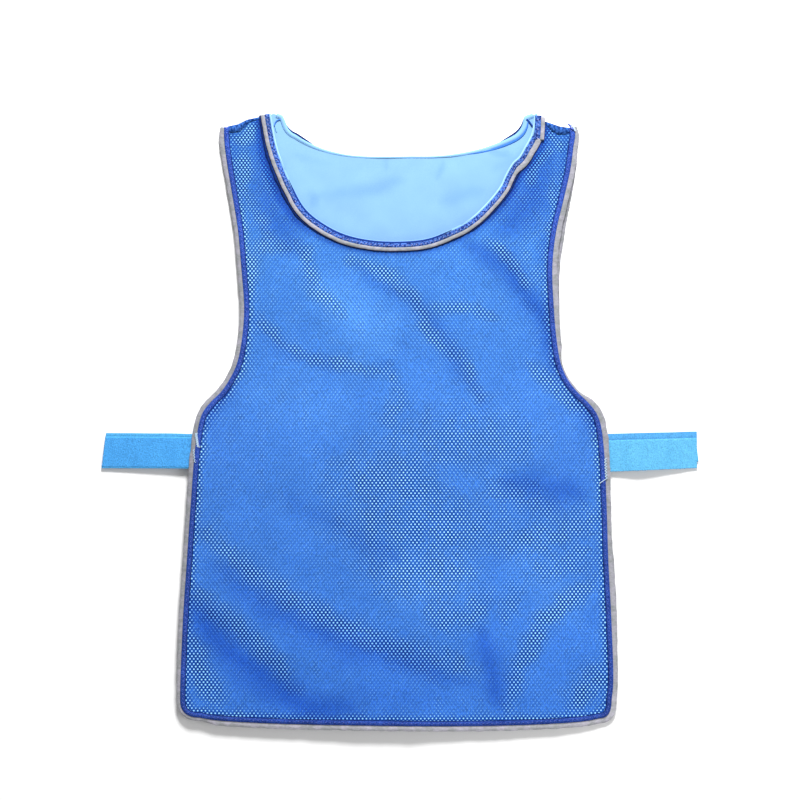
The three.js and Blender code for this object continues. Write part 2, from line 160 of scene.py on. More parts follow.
BACK_NECK_ROWS = [
    {"across": -0.955, "down": 0.0},
    {"across": -0.915, "down": 0.05},
    {"across": -0.895, "down": 0.17},
    {"across": -0.875, "down": 0.33},
    {"across": -0.845, "down": 0.44},
    {"across": -0.807, "down": 0.51},
    {"across": -0.750, "down": 0.62},
    {"across": -0.610, "down": 0.82},
    {"across": -0.436, "down": 0.955},
    {"across": -0.280, "down": 1.0},
    {"across": 0.050, "down": 1.0},
    {"across": 0.270, "down": 0.99},
    {"across": 0.470, "down": 0.91},
    {"across": 0.660, "down": 0.76},
    {"across": 0.850, "down": 0.50},
    {"across": 0.893, "down": 0.37},
    {"across": 0.912, "down": 0.25},
    {"across": 0.925, "down": 0.08},
    {"across": 0.985, "down": 0.0},
]
# How wide the pipings show along the sides, in millimetres by the share of the length.
RIGHT_PIPING = {
    "up": (0.04, 0.07, 0.12, 0.20, 0.27, 0.31, 0.38, 0.50, 0.525,
           0.54, 0.565, 0.60, 0.615, 0.66, 0.80, 0.93, 0.975),
    "front": (5.4, 4.6, 5.0, 6.3, 6.0, 4.4, 4.8, 6.0, 5.8, 2.2, 1.8, 1.6, 4.6, 5.4, 5.4, 5.0, 3.8),
    "back": (5.0, 4.4, 4.8, 5.8, 5.6, 4.2, 4.6, 5.4, 5.0, 1.8, 1.2, 1.0, 2.2, 3.0, 6.8, 2.6, 1.8),
}
LEFT_PIPING = {
    "up": (0.02, 0.045, 0.075, 0.14, 0.34, 0.45, 0.60, 0.71, 0.80, 0.915, 0.94, 0.956, 0.976),
    "shows": (3.4, 3.2, 3.8, 4.5, 4.6, 4.8, 4.6, 4.7, 4.3, 4.4, 5.0, 5.6, 4.0),
}
# How wide the lining is rolled over the back neck edge, in millimetres by the share of the path.
ROLL_SHOWS = {
    "along": (0.0, 0.08, 0.18, 0.30, 0.62, 0.78, 0.92, 1.0),
    "shows": (4.0, 4.0, 3.0, 1.6, 1.5, 3.4, 5.0, 4.4),
}

# Where the net is drawn tight over the lining and its holes stand open. across and up are
# shares of the half width and length, spread is in millimetres.
TIGHT_LINES = [
    {"across": (-0.714, -0.645, -0.555, -0.418, -0.373, -0.236),
     "up": (0.891, 0.842, 0.785, 0.777, 0.711, 0.67), "spread": 9, "pull": 0.62},
    {"across": (-0.68, -0.55, -0.43), "up": (0.775, 0.785, 0.778), "spread": 10, "pull": 0.6},
    {"across": (-0.709, -0.700), "up": (0.931, 0.871), "spread": 10, "pull": 1.0},
    {"across": (-0.750, -0.695, -0.632), "up": (0.953, 0.956, 0.985), "spread": 7, "pull": 1.0},
    {"across": (-0.632, -0.595, -0.568), "up": (0.940, 0.899, 0.866), "spread": 5, "pull": 0.7},
    {"across": (-0.67, -0.665), "up": (0.776, 0.679), "spread": 7, "pull": 0.72},
    {"across": (-0.67, -0.52, -0.407, -0.214, -0.043, 0.014),
     "up": (0.675, 0.626, 0.603, 0.587, 0.58, 0.548), "spread": 8.5, "pull": 0.66},
    {"across": (-0.214, -0.045, 0.082, 0.141, 0.195, 0.286, 0.386),
     "up": (0.764, 0.736, 0.692, 0.654, 0.63, 0.60, 0.532), "spread": 9.5, "pull": 0.74},
    {"across": (0.15, 0.31, 0.45), "up": (0.682, 0.682, 0.667), "spread": 7.5, "pull": 0.7},
    {"across": (0.605, 0.74, 0.877, 0.93),
     "up": (0.589, 0.548, 0.512, 0.475), "spread": 10, "pull": 0.8},
    {"across": (0.686, 0.627, 0.595), "up": (0.940, 0.915, 0.883), "spread": 8, "pull": 1.0},
    {"across": (0.672, 0.750), "up": (0.972, 0.939), "spread": 6, "pull": 0.9},
    {"across": (0.414, 0.514, 0.595), "up": (0.793, 0.76, 0.719), "spread": 8, "pull": 0.9},
    {"across": (0.705, 0.74), "up": (0.891, 0.777), "spread": 7, "pull": 0.8},
    {"across": (0.718, 0.695, 0.627, 0.673),
     "up": (0.956, 0.858, 0.744, 0.646), "spread": 24, "pull": 0.26},
    {"across": (-0.03, 0.30, 0.62), "up": (0.455, 0.466, 0.462), "spread": 32, "pull": 0.60},
    {"across": (-0.25, 0.05, 0.22), "up": (0.400, 0.393, 0.369), "spread": 42, "pull": 0.68},
    {"across": (-0.25, -0.05, 0.20, 0.45),
     "up": (0.335, 0.325, 0.320, 0.330), "spread": 40, "pull": 0.70},
    {"across": (-0.12, 0.014, 0.33), "up": (0.262, 0.254, 0.246), "spread": 34, "pull": 0.66},
    {"across": (0.40, 0.58, 0.74), "up": (0.398, 0.372, 0.336), "spread": 20, "pull": 0.60},
    {"across": (0.02, -0.05), "up": (0.538, 0.490), "spread": 13, "pull": 0.55},
    {"across": (-0.02, 0.32), "up": (0.128, 0.095), "spread": 19, "pull": 0.72},
    {"across": (0.42, 0.66, 0.92), "up": (0.300, 0.310, 0.336), "spread": 24, "pull": 0.66},
    {"across": (0.173, 0.195, 0.33, 0.42),
     "up": (0.215, 0.175, 0.175, 0.222), "spread": 15, "pull": 0.68},
    {"across": (0.60, 0.88), "up": (0.255, 0.280), "spread": 22, "pull": 0.56},
    {"across": (-0.873, -0.714, -0.486, -0.214, 0.06, 0.34),
     "up": (0.32, 0.263, 0.205, 0.157, 0.116, 0.088), "spread": 16, "pull": 0.80},
    {"across": (-0.95, -0.90, -0.76, -0.645, -0.532, -0.46),
     "up": (0.225, 0.205, 0.172, 0.137, 0.091, 0.058), "spread": 13, "pull": 0.83},
    {"across": (-0.95, -0.90, -0.82), "up": (0.140, 0.085, 0.045), "spread": 17, "pull": 0.92},
    {"across": (0.90, 0.673, 0.568, 0.514),
     "up": (0.241, 0.173, 0.108, 0.034), "spread": 12, "pull": 0.85},
    {"across": (0.95, 0.80), "up": (0.100, 0.030), "spread": 17, "pull": 0.8},
    {"across": (0.49, 0.56), "up": (0.173, 0.26), "spread": 13, "pull": 0.55},
]
SLACK_SPOTS = [
    {"across": 0.235, "up": 0.404, "spread": 8},
    {"across": 0.33, "up": 0.396, "spread": 8},
    {"across": 0.536, "up": 0.241, "spread": 15},
    {"across": 0.40, "up": 0.127, "spread": 13},
]
# Painted shade and painted light over the net, in its valleys and on its crests: darker or lighter
# by shade along a line.
SHADE_LINES = [
    {"across": (-1.05, -0.80, -0.66, -0.40, -0.10),
     "up": (0.23, 0.145, 0.090, 0.030, 0.02), "spread": 19, "shade": -0.36},
    {"across": (-0.92, -0.577, -0.214, 0.10, 0.40),
     "up": (0.285, 0.195, 0.128, 0.100, 0.06), "spread": 17, "shade": -0.26},
    {"across": (-0.80, -0.30, 0.30), "up": (0.03, 0.045, 0.05), "spread": 22, "shade": -0.10},
    {"across": (0.38, 0.43, 0.48), "up": (0.17, 0.10, 0.02), "spread": 13, "shade": -0.30},
    {"across": (0.27, 0.50, 0.673, 0.76),
     "up": (0.79, 0.75, 0.662, 0.54), "spread": 12, "shade": -0.36},
    {"across": (-0.40, -0.20, 0.0), "up": (0.71, 0.64, 0.575), "spread": 9, "shade": -0.06},
    {"across": (-0.74, -0.50, -0.18), "up": (0.68, 0.61, 0.575), "spread": 9, "shade": -0.09},
    {"across": (-0.25, 0.06, 0.286, 0.40),
     "up": (0.765, 0.70, 0.597, 0.50), "spread": 9, "shade": -0.18},
    {"across": (0.45, 0.66, 0.88), "up": (0.40, 0.39, 0.37), "spread": 15, "shade": -0.28},
    {"across": (-0.55, -0.20, 0.10), "up": (0.385, 0.315, 0.24), "spread": 10, "shade": -0.12},
    {"across": (-0.60, -0.62, -0.60, -0.42),
     "up": (1.06, 0.93, 0.86, 0.76), "spread": 23, "shade": -0.30},
    {"across": (-0.80, -0.74, -0.70), "up": (1.06, 0.93, 0.82), "spread": 17, "shade": -0.25},
    {"across": (-1.0, -0.87, -0.74), "up": (0.46, 0.52, 0.60), "spread": 12, "shade": -0.50},
    {"across": (0.76, 0.88, 0.98), "up": (0.60, 0.52, 0.46), "spread": 12, "shade": -0.45},
    {"across": (0.68, 0.66, 0.62, 0.42),
     "up": (1.06, 0.94, 0.86, 0.79), "spread": 27, "shade": -0.37},
    {"across": (0.82, 0.76, 0.68), "up": (1.06, 0.88, 0.70), "spread": 16, "shade": -0.33},
    {"across": (-0.36, -0.18, 0.0), "up": (0.74, 0.66, 0.60), "spread": 26, "shade": 0.18},
    {"across": (-0.05, 0.127, 0.40), "up": (0.27, 0.222, 0.26), "spread": 30, "shade": 0.13},
    {"across": (-0.70, -0.20), "up": (0.57, 0.49), "spread": 30, "shade": 0.08},
    {"across": (0.52, 0.85), "up": (0.30, 0.16), "spread": 28, "shade": 0.11},
]
# Painted shade in the creases of the back lining: darker by shade along a line.
LINING_SHADES = [
    {"across": (-0.386, -0.282, -0.123, -0.023, 0.068),
     "up": (0.860, 0.871, 0.874, 0.886, 0.899), "spread": 7, "shade": -0.10},
    {"across": (-0.40, -0.35), "up": (0.853, 0.862), "spread": 7, "shade": -0.10},
    {"across": (0.190, 0.286, 0.409), "up": (0.850, 0.868, 0.874), "spread": 8, "shade": -0.10},
    {"across": (0.415, 0.523), "up": (0.936, 0.931), "spread": 4, "shade": -0.12},
    {"across": (0.205, 0.195), "up": (0.926, 0.889), "spread": 3, "shade": -0.09},
    {"across": (-0.055, -0.045), "up": (0.927, 0.902), "spread": 3, "shade": -0.08},
    {"across": (-0.486, -0.305), "up": (0.928, 0.918), "spread": 4, "shade": -0.05},
    {"across": (0.42, 0.60), "up": (0.905, 0.945), "spread": 5, "shade": -0.06},
]
# How far the seam allowance shows beside the neck piping, in millimetres along the neck.
FACING_SHOWS = {
    "along": (0.0, 0.1, 0.2, 0.3, 0.4, 0.5, 0.62, 0.74, 0.88, 1.0),
    "shows": (5.0, 8.0, 8.5, 5.0, 2.2, 1.6, 2.0, 4.0, 5.0, 3.5),
}
# How wide the neck piping is towards the tab at its right end, in shares of its width.
NECK_PIPING_SHOWS = {"along": (0, 0.875, 0.893, 0.91, 1), "shows": (1, 0.88, 0.9, 1.3, 1.42)}
# How wide the dark folds show at the shoulders, in millimetres.
LEFT_FOLD = {
    "across": (-0.772, -0.725, -0.700, -0.683, -0.640, -0.618, -0.575),
    "shows": (6.0, 7.5, 5.5, 3.8, 2.4, 1.7, 1.2),
}
RIGHT_FOLD = {
    "across": (0.673, 0.695, 0.718, 0.741, 0.768, 0.800),
    "shows": (1.5, 4.2, 7.5, 9.0, 7.5, 4.0),
}
# How much lower the front's hem lies than in the CAD, in millimetres.
LOW_HEM = {
    "across": (-1.0, -0.75, -0.45, -0.30, 0.06, 0.15, 0.30, 1.0),
    "lower": (2.0, 2.7, 2.4, 1.6, 0.8, 1.8, 2.6, 2.7),
}
LOW_HEM_REACH = 0.12  # share of the length


# Paths over the floor plan. A path is an array of points, and its right side as it runs
# faces out of the panel on the sides and hem, and into the panel on the necks.

HEM_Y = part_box("front_net")[0].y
MIDDLE_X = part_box("front_net")[0].x + SIDE_ROWS[-1]["left"] * HALF_WIDTH
NECK_TOP_Y = HEM_Y + PANEL_LENGTH
PATH_STEP = 1.5 * MM
CURVE_POINTS = 60  # for each row of a table
CORNER_POINTS = 24


def at(across, up):
    return np.array([MIDDLE_X + across * HALF_WIDTH, HEM_Y + up * PANEL_LENGTH])


def shares(points):
    """The way back from at: shares of the half width and the length."""
    return (points[:, 0] - MIDDLE_X) / HALF_WIDTH, (points[:, 1] - HEM_Y) / PANEL_LENGTH


def even(points):
    """The same path with its points PATH_STEP apart."""
    along = np.concatenate([[0], np.cumsum(np.linalg.norm(np.diff(points, axis=0), axis=1))])
    s = np.linspace(0, along[-1], max(2, int(round(along[-1] / PATH_STEP)) + 1))
    return np.stack([np.interp(s, along, points[:, k]) for k in range(points.shape[1])], axis=1)


def smooth(points):
    """A smooth path through a few points."""
    p = np.array(points, float)
    t = np.concatenate([[0], np.cumsum(np.sqrt(np.linalg.norm(np.diff(p, axis=0), axis=1)))])
    slope = np.gradient(p, t, axis=0)
    fine = np.linspace(0, t[-1], CURVE_POINTS * len(p))
    i = np.clip(np.searchsorted(t, fine, side="right") - 1, 0, len(t) - 2)
    h = (t[i + 1] - t[i])[:, None]
    s = (fine - t[i])[:, None] / h
    curve = (
        (2 * s**3 - 3 * s**2 + 1) * p[i]
        + (s**3 - 2 * s**2 + s) * h * slope[i]
        + (3 * s**2 - 2 * s**3) * p[i + 1]
        + (s**3 - s**2) * h * slope[i + 1]
    )
    return even(curve)


def corner(start, end, turn):
    s = np.linspace(0, 1, CORNER_POINTS)[1:-1, None]
    return (1 - s) ** 2 * start + 2 * s * (1 - s) * turn + s**2 * end


def panel_path(peeks):
    """From the left shoulder down, along the hem and up to the right shoulder."""
    left = smooth([at(-r["left"], r["up"]) for r in SIDE_ROWS])
    right = smooth([at(r["right"] + (r["peek"] if peeks else 0), r["up"]) for r in SIDE_ROWS])[::-1]
    hem = smooth([at(r["across"], r["up"]) for r in HEM_ROWS])
    left_corner = corner(left[-1], hem[0], np.array([left[-1][0], hem[0][1]]))
    right_corner = corner(hem[-1], right[0], np.array([right[0][0], hem[-1][1]]))
    return even(np.concatenate([left, left_corner, hem, right_corner, right]))


def neck_path(rows, drop):
    x0 = MIDDLE_X + NECK_OFFSET
    return smooth([
        (x0 + r["across"] * NECK_HALF_WIDTH, NECK_TOP_Y - r["down"] * drop) for r in rows
    ])


def part_of(path, start, end):
    """The points of a path between two shares of its length."""
    return path[int(start * len(path)) : int(end * len(path))]


def shows_along(path, table):
    """What a table says at each point of a path."""
    return np.interp(np.linspace(0, 1, len(path)), table["along"], table["shows"])


def right_of(path):
    """The unit vector to the right of the path at each of its points."""
    along = np.gradient(path, axis=0)
    along /= np.linalg.norm(along, axis=1)[:, None]
    return np.stack([along[:, 1], -along[:, 0]], axis=1)


def beside(path, distance):
    return path + right_of(path) * distance


class Edge:
    """A path that tells how far to its right a point lies."""

    AT_ONCE = 4000

    def __init__(self, path):
        self.path = path
        self.right = right_of(path)

    def distance(self, points):
        """The signed distance, the direction to the right and the place along the path."""
        place = np.empty(len(points), int)
        for start in range(0, len(points), self.AT_ONCE):
            some = slice(start, start + self.AT_ONCE)
            gap = ((points[some, None, :] - self.path[None, :, :]) ** 2).sum(2)
            place[some] = gap.argmin(1)
        direction = self.right[place]
        apart = points - self.path[place]
        side = np.sign((apart * direction).sum(1))
        return side * np.linalg.norm(apart, axis=1), direction, place


front_edge = panel_path(False)
back_edge = panel_path(True)
front_neck = neck_path(FRONT_NECK_ROWS, FRONT_NECK_DROP)
back_neck = neck_path(BACK_NECK_ROWS, BACK_NECK_DROP)
shoulders = even(np.array([at(r["across"], r["up"]) for r in SHOULDER_ROWS]))
front_side, back_side = Edge(front_edge), Edge(back_edge)
front_hole, back_hole = Edge(front_neck), Edge(back_neck)
shoulder_line = Edge(shoulders)


def past(points, side, hole, side_inset, hole_inset, shoulder_inset):
    """How far each point lies outside a panel, and the way back in. The insets are how far
    the panel stops short of its side edge, its neck and the shoulder line."""
    rules = [
        (side, 1, side_inset),
        (hole, -1, hole_inset),
        (shoulder_line, -1, shoulder_inset),
    ]
    worst = np.full(len(points), -np.inf)
    back = np.zeros((len(points), 2))
    for edge, sign, inset in rules:
        distance, direction, _ = edge.distance(points)
        out = sign * distance + inset
        more = out > worst
        worst[more] = out[more]
        back[more] = (-sign * direction)[more]
    return worst, back


# Heights.


class Heights:
    """The smoothed top of a CAD node over the floor plan."""

    STEP = 6 * MM
    MARGIN = 24 * MM
    PASSES = 5

    def __init__(self, node):
        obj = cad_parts[node]
        tree = BVHTree.FromPolygons(
            [v.co for v in obj.data.vertices], [tuple(p.vertices) for p in obj.data.polygons]
        )
        low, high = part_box(node)
        self.x0, self.y0 = low.x - self.MARGIN, low.y - self.MARGIN
        nx = int((high.x - low.x + 2 * self.MARGIN) / self.STEP) + 2
        ny = int((high.y - low.y + 2 * self.MARGIN) / self.STEP) + 2
        grid = np.full((ny, nx), np.nan)
        down = Vector((0, 0, -1))
        for j in range(ny):
            for i in range(nx):
                start = Vector((self.x0 + i * self.STEP, self.y0 + j * self.STEP, 1))
                hit = tree.ray_cast(start, down)[0]
                if hit is not None:
                    grid[j, i] = hit.z
        self.grid = self.blurred(self.filled(grid))

    @staticmethod
    def filled(grid):
        while np.isnan(grid).any():
            padded = np.pad(grid, 1, constant_values=np.nan)
            around = [padded[1 + dj : padded.shape[0] - 1 + dj, 1 + di : padded.shape[1] - 1 + di]
                      for dj in (-1, 0, 1) for di in (-1, 0, 1)]
            known = np.array(around)
            count = (~np.isnan(known)).sum(0)
            mean = np.nansum(known, axis=0) / np.maximum(count, 1)
            fill = np.isnan(grid) & (count > 0)
            grid = np.where(fill, mean, grid)
        return grid

    def blurred(self, grid):
        for _ in range(self.PASSES):
            for axis in (0, 1):
                p = np.pad(grid, [(1, 1) if k == axis else (0, 0) for k in (0, 1)], mode="edge")
                a = np.take(p, range(0, grid.shape[axis]), axis)
                b = np.take(p, range(2, grid.shape[axis] + 2), axis)
                grid = 0.25 * a + 0.5 * grid + 0.25 * b
        return grid

    def __call__(self, points):
        gx = np.clip((points[:, 0] - self.x0) / self.STEP, 0, self.grid.shape[1] - 1.001)
        gy = np.clip((points[:, 1] - self.y0) / self.STEP, 0, self.grid.shape[0] - 1.001)
        i, j = gx.astype(int), gy.astype(int)
        u, v = gx - i, gy - j
        g = self.grid
        low = g[j, i] * (1 - u) + g[j, i + 1] * u
        high = g[j + 1, i] * (1 - u) + g[j + 1, i + 1] * u
        return low * (1 - v) + high * v


def ripple(points, size, octaves, seed):
    """Smooth noise from about -1 to 1 over the floor plan."""
    return np.array(
        [noise.fractal(Vector((x / size, y / size, seed)), 1.0, 2.0, octaves) for x, y in points]
    )


def wandered(points, by, size, octaves, seeds):
    """The points moved a little, so that the tables' straight lines turn into natural ones."""
    return points + by * np.stack([ripple(points, size, octaves, seed) for seed in seeds], 1)


front_top = Heights("front_net")
CREASE = 0.35 * MM
CREASE_LENGTH = 28 * MM
PUCKER = 0.45 * MM
PUCKER_LENGTH = 9 * MM
PUCKER_REACH = 9 * MM


def puckers(points, edge):
    """The little waves that the seam draws into the cloth beside it."""
    distance, _, place = edge.distance(points)
    along = place * PATH_STEP / PUCKER_LENGTH
    wave = np.array([noise.noise(Vector((s, 0.3, 0))) for s in along])
    return PUCKER * wave * np.exp(-np.abs(distance) / PUCKER_REACH)


def front_height(points):
    """The underside of the front net."""
    across, up = shares(points)
    base = front_top(points) - CLOTH
    creases = CREASE * ripple(points, CREASE_LENGTH, 2, 4.0)
    lower = np.interp(across, LOW_HEM["across"], LOW_HEM["lower"]) * MM
    lower *= np.clip(1 - up / LOW_HEM_REACH, 0, 1)
    return base + creases - lower + puckers(points, front_side) + puckers(points, front_hole)


def line_distance(points, across, up):
    """The distance to a broken line given in shares, and how far along it from 0 to 1."""
    corners = np.array([at(a, u) for a, u in zip(across, up)])
    runs = np.linalg.norm(np.diff(corners, axis=0), axis=1)
    starts = np.concatenate([[0], np.cumsum(runs)]) / runs.sum()
    best, along = np.full(len(points), np.inf), np.zeros(len(points))
    for a, b, start, length in zip(corners[:-1], corners[1:], starts, runs):
        run = b - a
        t = np.clip(((points - a) @ run) / (run @ run), 0, 1)
        apart = np.linalg.norm(points - a - t[:, None] * run, axis=1)
        along = np.where(apart < best, start + t * length / runs.sum(), along)
        best = np.minimum(best, apart)
    return best, along


def near_lines(points, lines, key, power, taper):
    """The strongest pull of some lines on each point. taper narrows the lines' ends."""
    best = np.zeros(len(points))
    for line in lines:
        apart, along = line_distance(points, line["across"], line["up"])
        thin = 1 - taper * (2 * along - 1) ** 4
        near = apart / (line["spread"] * MM * np.maximum(thin, 0.2))
        pull = line[key] * thin * np.exp(-(near**power))
        best = np.where(np.abs(pull) > np.abs(best), pull, best)
    return best


# The net is tight beside its edge band too, a little less towards the shoulders, and at the
# shoulders beside the neck.
TIGHT_AT_EDGE = {"up": (0.84, 0.88, 0.93), "tight": (0.90, 0.75, 0.45)}
EDGE_REACH = 6 * MM
TIGHT_AT_NECK = 0.7
NECK_REACH = 8 * MM
TIGHT_AT_SHOULDERS = 0.22
SHOULDERS_FROM, SHOULDERS_OVER = 0.80, 0.06


def past_neck_piping(points):
    """How far each point lies past the neck piping, and its share of the way along."""
    distance, _, place = front_hole.distance(points)
    return distance - NECK_EDGE - NECK_BAND - NECK_PIPING, place / (len(front_hole.path) - 1)


def tightness(points):
    """From 0 where the net lies slack, with small holes, to 1 where its holes stand open."""
    moved = wandered(points, 4 * MM, 22 * MM, 2, (1.0, 9.0))
    tight = near_lines(moved, TIGHT_LINES, "pull", 2.4, 0.35)
    for spot in SLACK_SPOTS:
        apart = np.linalg.norm(moved - at(spot["across"], spot["up"]), axis=1)
        tight *= 1 - 0.8 * np.exp(-((apart / (spot["spread"] * MM)) ** 2))
    up = shares(points)[1]
    from_side = np.maximum(-front_side.distance(points)[0] - EDGE_BAND, 0)
    at_edge = np.interp(up, TIGHT_AT_EDGE["up"], TIGHT_AT_EDGE["tight"])
    tight = np.maximum(tight, at_edge * np.exp(-((from_side / EDGE_REACH) ** 2)))
    from_neck = np.maximum(past_neck_piping(points)[0], 0)
    high = np.clip((up - SHOULDERS_FROM) / SHOULDERS_OVER, 0, 1)
    tight = np.maximum(tight, TIGHT_AT_NECK * high * np.exp(-((from_neck / NECK_REACH) ** 2)))
    tight = np.maximum(tight, TIGHT_AT_SHOULDERS * high)
    uneven = ripple(points, 11 * MM, 3, 6.0)
    return np.clip(0.15 + tight * 0.85 + 0.24 * uneven, 0, 1)


def beside_neck(points, share=0.4):
    """1 within a share of the seam allowance's width from the neck piping, fading to 0."""
    distance, along = past_neck_piping(points)
    reach = np.interp(along, FACING_SHOWS["along"], FACING_SHOWS["shows"]) * MM
    return np.clip(1 - (distance - share * reach) / (4 * MM), 0, 1)


def shade(points):
    """0.5 in plain light, with painted shade making it less in a valley and beside the neck piping,
    where the seam allowance also lies under the net, and painted light making it more on a crest.
    """
    moved = wandered(points, 6 * MM, 40 * MM, 2, (31.0, 37.0))
    soft = near_lines(moved, SHADE_LINES, "shade", 1.7, 0.9)
    mottle = 0.035 * ripple(points, 17 * MM, 3, 21.0)
    return 0.5 + soft + mottle - 0.27 * beside_neck(points, 1.0)


def lining_shade(points):
    """0.5 on the plain lining, less where shade is painted into its creases."""
    moved = wandered(points, 4 * MM, 25 * MM, 3, (41.0, 47.0))
    creases = near_lines(moved, LINING_SHADES, "shade", 2, 0.9)
    return 0.5 + creases + 0.02 * ripple(points, 16 * MM, 3, 43.0)


def plain(value):
    return lambda points: np.full(len(points), float(value))


# Shapes.


def new_piece(name, bm, material):
    mesh = bpy.data.meshes.new(name)
    bm.to_mesh(mesh)
    bm.free()
    mesh.shade_smooth()
    piece = bpy.data.objects.new(name, mesh)
    bpy.context.scene.collection.objects.link(piece)
    piece.data.materials.append(material)
    return piece


def settle(piece, slot, *nodes):
    """Every piece rides on the one body, and the CAD nodes given are hidden; slot is not used."""
    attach(piece, "root")
    if nodes:
        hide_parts(*nodes)


def plan(bm):
    return np.array([v.co.xy for v in bm.verts])


def place(bm, xy, z):
    for v, (x, y), h in zip(bm.verts, xy, z):
        v.co = (x, y, h)


def drawn_in(xy):
    """The net's rows and columns lie closer at the shoulders."""
    y0 = at(0, DRAWN_FROM)[1]
    up = np.clip((xy[:, 1] - y0) / (DRAWN_OVER * PANEL_LENGTH), 0, 1)
    up = up * up * (3 - 2 * up)
    x = xy[:, 0] - MIDDLE_X
    middle = np.where(x < 0, *DRAWN_MIDDLES) * HALF_WIDTH
    close = np.exp(-(((x - middle) / (DRAWN_REACH * HALF_WIDTH)) ** 2))
    moved = xy.copy()
    moved[:, 0] -= CLOSER_COLUMNS * up * close * (x - middle)
    moved[:, 1] -= CLOSER_ROWS * np.maximum(xy[:, 1] - y0, 0)
    return moved


def trimmed_grid(low, high, columns, rows, stagger, side, hole, insets, keep, warp=None):
    """A grid over a box, cut back to a panel's outline, with its outer points on it."""
    bm = bmesh.new()
    bmesh.ops.create_grid(bm, x_segments=columns, y_segments=rows, size=0.5)
    xy = plan(bm)
    row = np.rint((xy[:, 1] + 0.5) * rows).astype(int)
    xy = low + (xy + 0.5) * (high - low)
    cell = (high[0] - low[0]) / columns
    xy[:, 0] += np.where(row % 2 == 1, stagger * cell, 0)
    if warp:
        xy = warp(xy)
    out, back = past(xy, side, hole, *insets)
    place(bm, xy, np.zeros(len(xy)))
    bm.verts.ensure_lookup_table()
    drop = [bm.verts[i] for i in np.nonzero(out > keep)[0]]
    xy = xy + back * np.maximum(out, 0)[:, None]
    place(bm, xy, np.zeros(len(xy)))
    bmesh.ops.delete(bm, geom=drop, context="VERTS")
    loose = [v for v in bm.verts if not v.link_faces]
    bmesh.ops.delete(bm, geom=loose, context="VERTS")
    return bm


def marked(bm, name, values):
    layer = bm.verts.layers.float.new(name)
    for vert, value in zip(bm.verts, values):
        vert[layer] = value


def cloth(name, side, hole, insets, height, material, step, marks):
    """A plain sheet with a panel's outline. marks are attributes of its points."""
    low = side.path.min(0) - step
    high = np.array([side.path[:, 0].max(), NECK_TOP_Y]) + step
    columns, rows = np.ceil((high - low) / step).astype(int)
    bm = trimmed_grid(low, high, columns, rows, 0, side, hole, insets, 0.75 * step)
    xy = plan(bm)
    for mark, values_of in marks:
        marked(bm, mark, values_of(xy))
    place(bm, xy, height(xy))
    return new_piece(name, bm, material)


def net(name, side, hole, insets, height, tightness_of, shade_of, material):
    """A net with a hole at each point of a staggered grid."""
    pitch = np.array([HOLE_PITCH[0], HOLE_PITCH[1] / 2])
    low = side.path.min(0) - pitch
    high = np.array([side.path[:, 0].max(), NECK_TOP_Y + 0.04 * PANEL_LENGTH]) + pitch
    columns, rows = np.ceil((high - low) / pitch).astype(int)
    high = low + pitch * (columns, rows)
    bm = trimmed_grid(low, high, columns, rows, 0.5, side, hole, insets, 0.6 * pitch[0], drawn_in)
    bmesh.ops.triangulate(bm, faces=bm.faces[:], quad_method="SHORT_EDGE")
    inner = [v for v in bm.verts if not v.is_boundary]
    cut = bmesh.ops.bevel(
        bm, geom=inner, offset=HOLE_CUT, affect="VERTICES", segments=1, profile=0.5, material=-1
    )
    holes = [f for f in cut["faces"] if f.is_valid and len(f.verts) == 6]
    middles = np.array([f.calc_center_median().xy for f in holes])
    tight = tightness_of(middles)
    # Slack holes are pulled aslant, to one side or the other, in rows that look like ribs.
    lean = np.where(ripple(middles, 140 * MM, 2, 15.0) > -0.15, -HOLE_LEAN, HOLE_LEAN)
    lean *= np.clip(1.25 - 1.6 * tight, 0, 1)
    closed, opened = np.array(CLOSED_HOLE), np.array(OPEN_HOLE)
    pull = bm.verts.layers.float.new("tightness")
    for face, middle, share, turn in zip(holes, middles, tight, lean):
        size = closed + (opened - closed) * share
        c, s = math.cos(turn), math.sin(turn)
        for v in face.verts:
            x, y = v.co.x - middle[0], v.co.y - middle[1]
            reach = math.hypot((c * x + s * y) / size[0], (c * y - s * x) / size[1])
            v.co.xy = middle[0] + x / reach, middle[1] + y / reach
            v[pull] = share
    bmesh.ops.delete(bm, geom=holes, context="FACES_ONLY")
    xy = plan(bm)
    marked(bm, "shade", shade_of(xy))
    place(bm, xy, height(xy))
    return new_piece(name, bm, material)


STRIP_ROUNDING = 0.35 * MM
WOBBLE_LENGTH = 11 * MM
SAME_PLACE = 1e-7


def flat_section(inner, outer, low, high):
    """A flat strip's section with rounded corners, a little fuller in the middle."""
    r = min(STRIP_ROUNDING, (high - low) / 2.001)
    return [
        (inner + r, low), (outer - r, low), (outer, low + r), (outer, high - r),
        (outer - r, high), (0.5 * (inner + outer), high + 0.15 * MM), (inner + r, high),
        (inner, high - r), (inner, low + r),
    ]


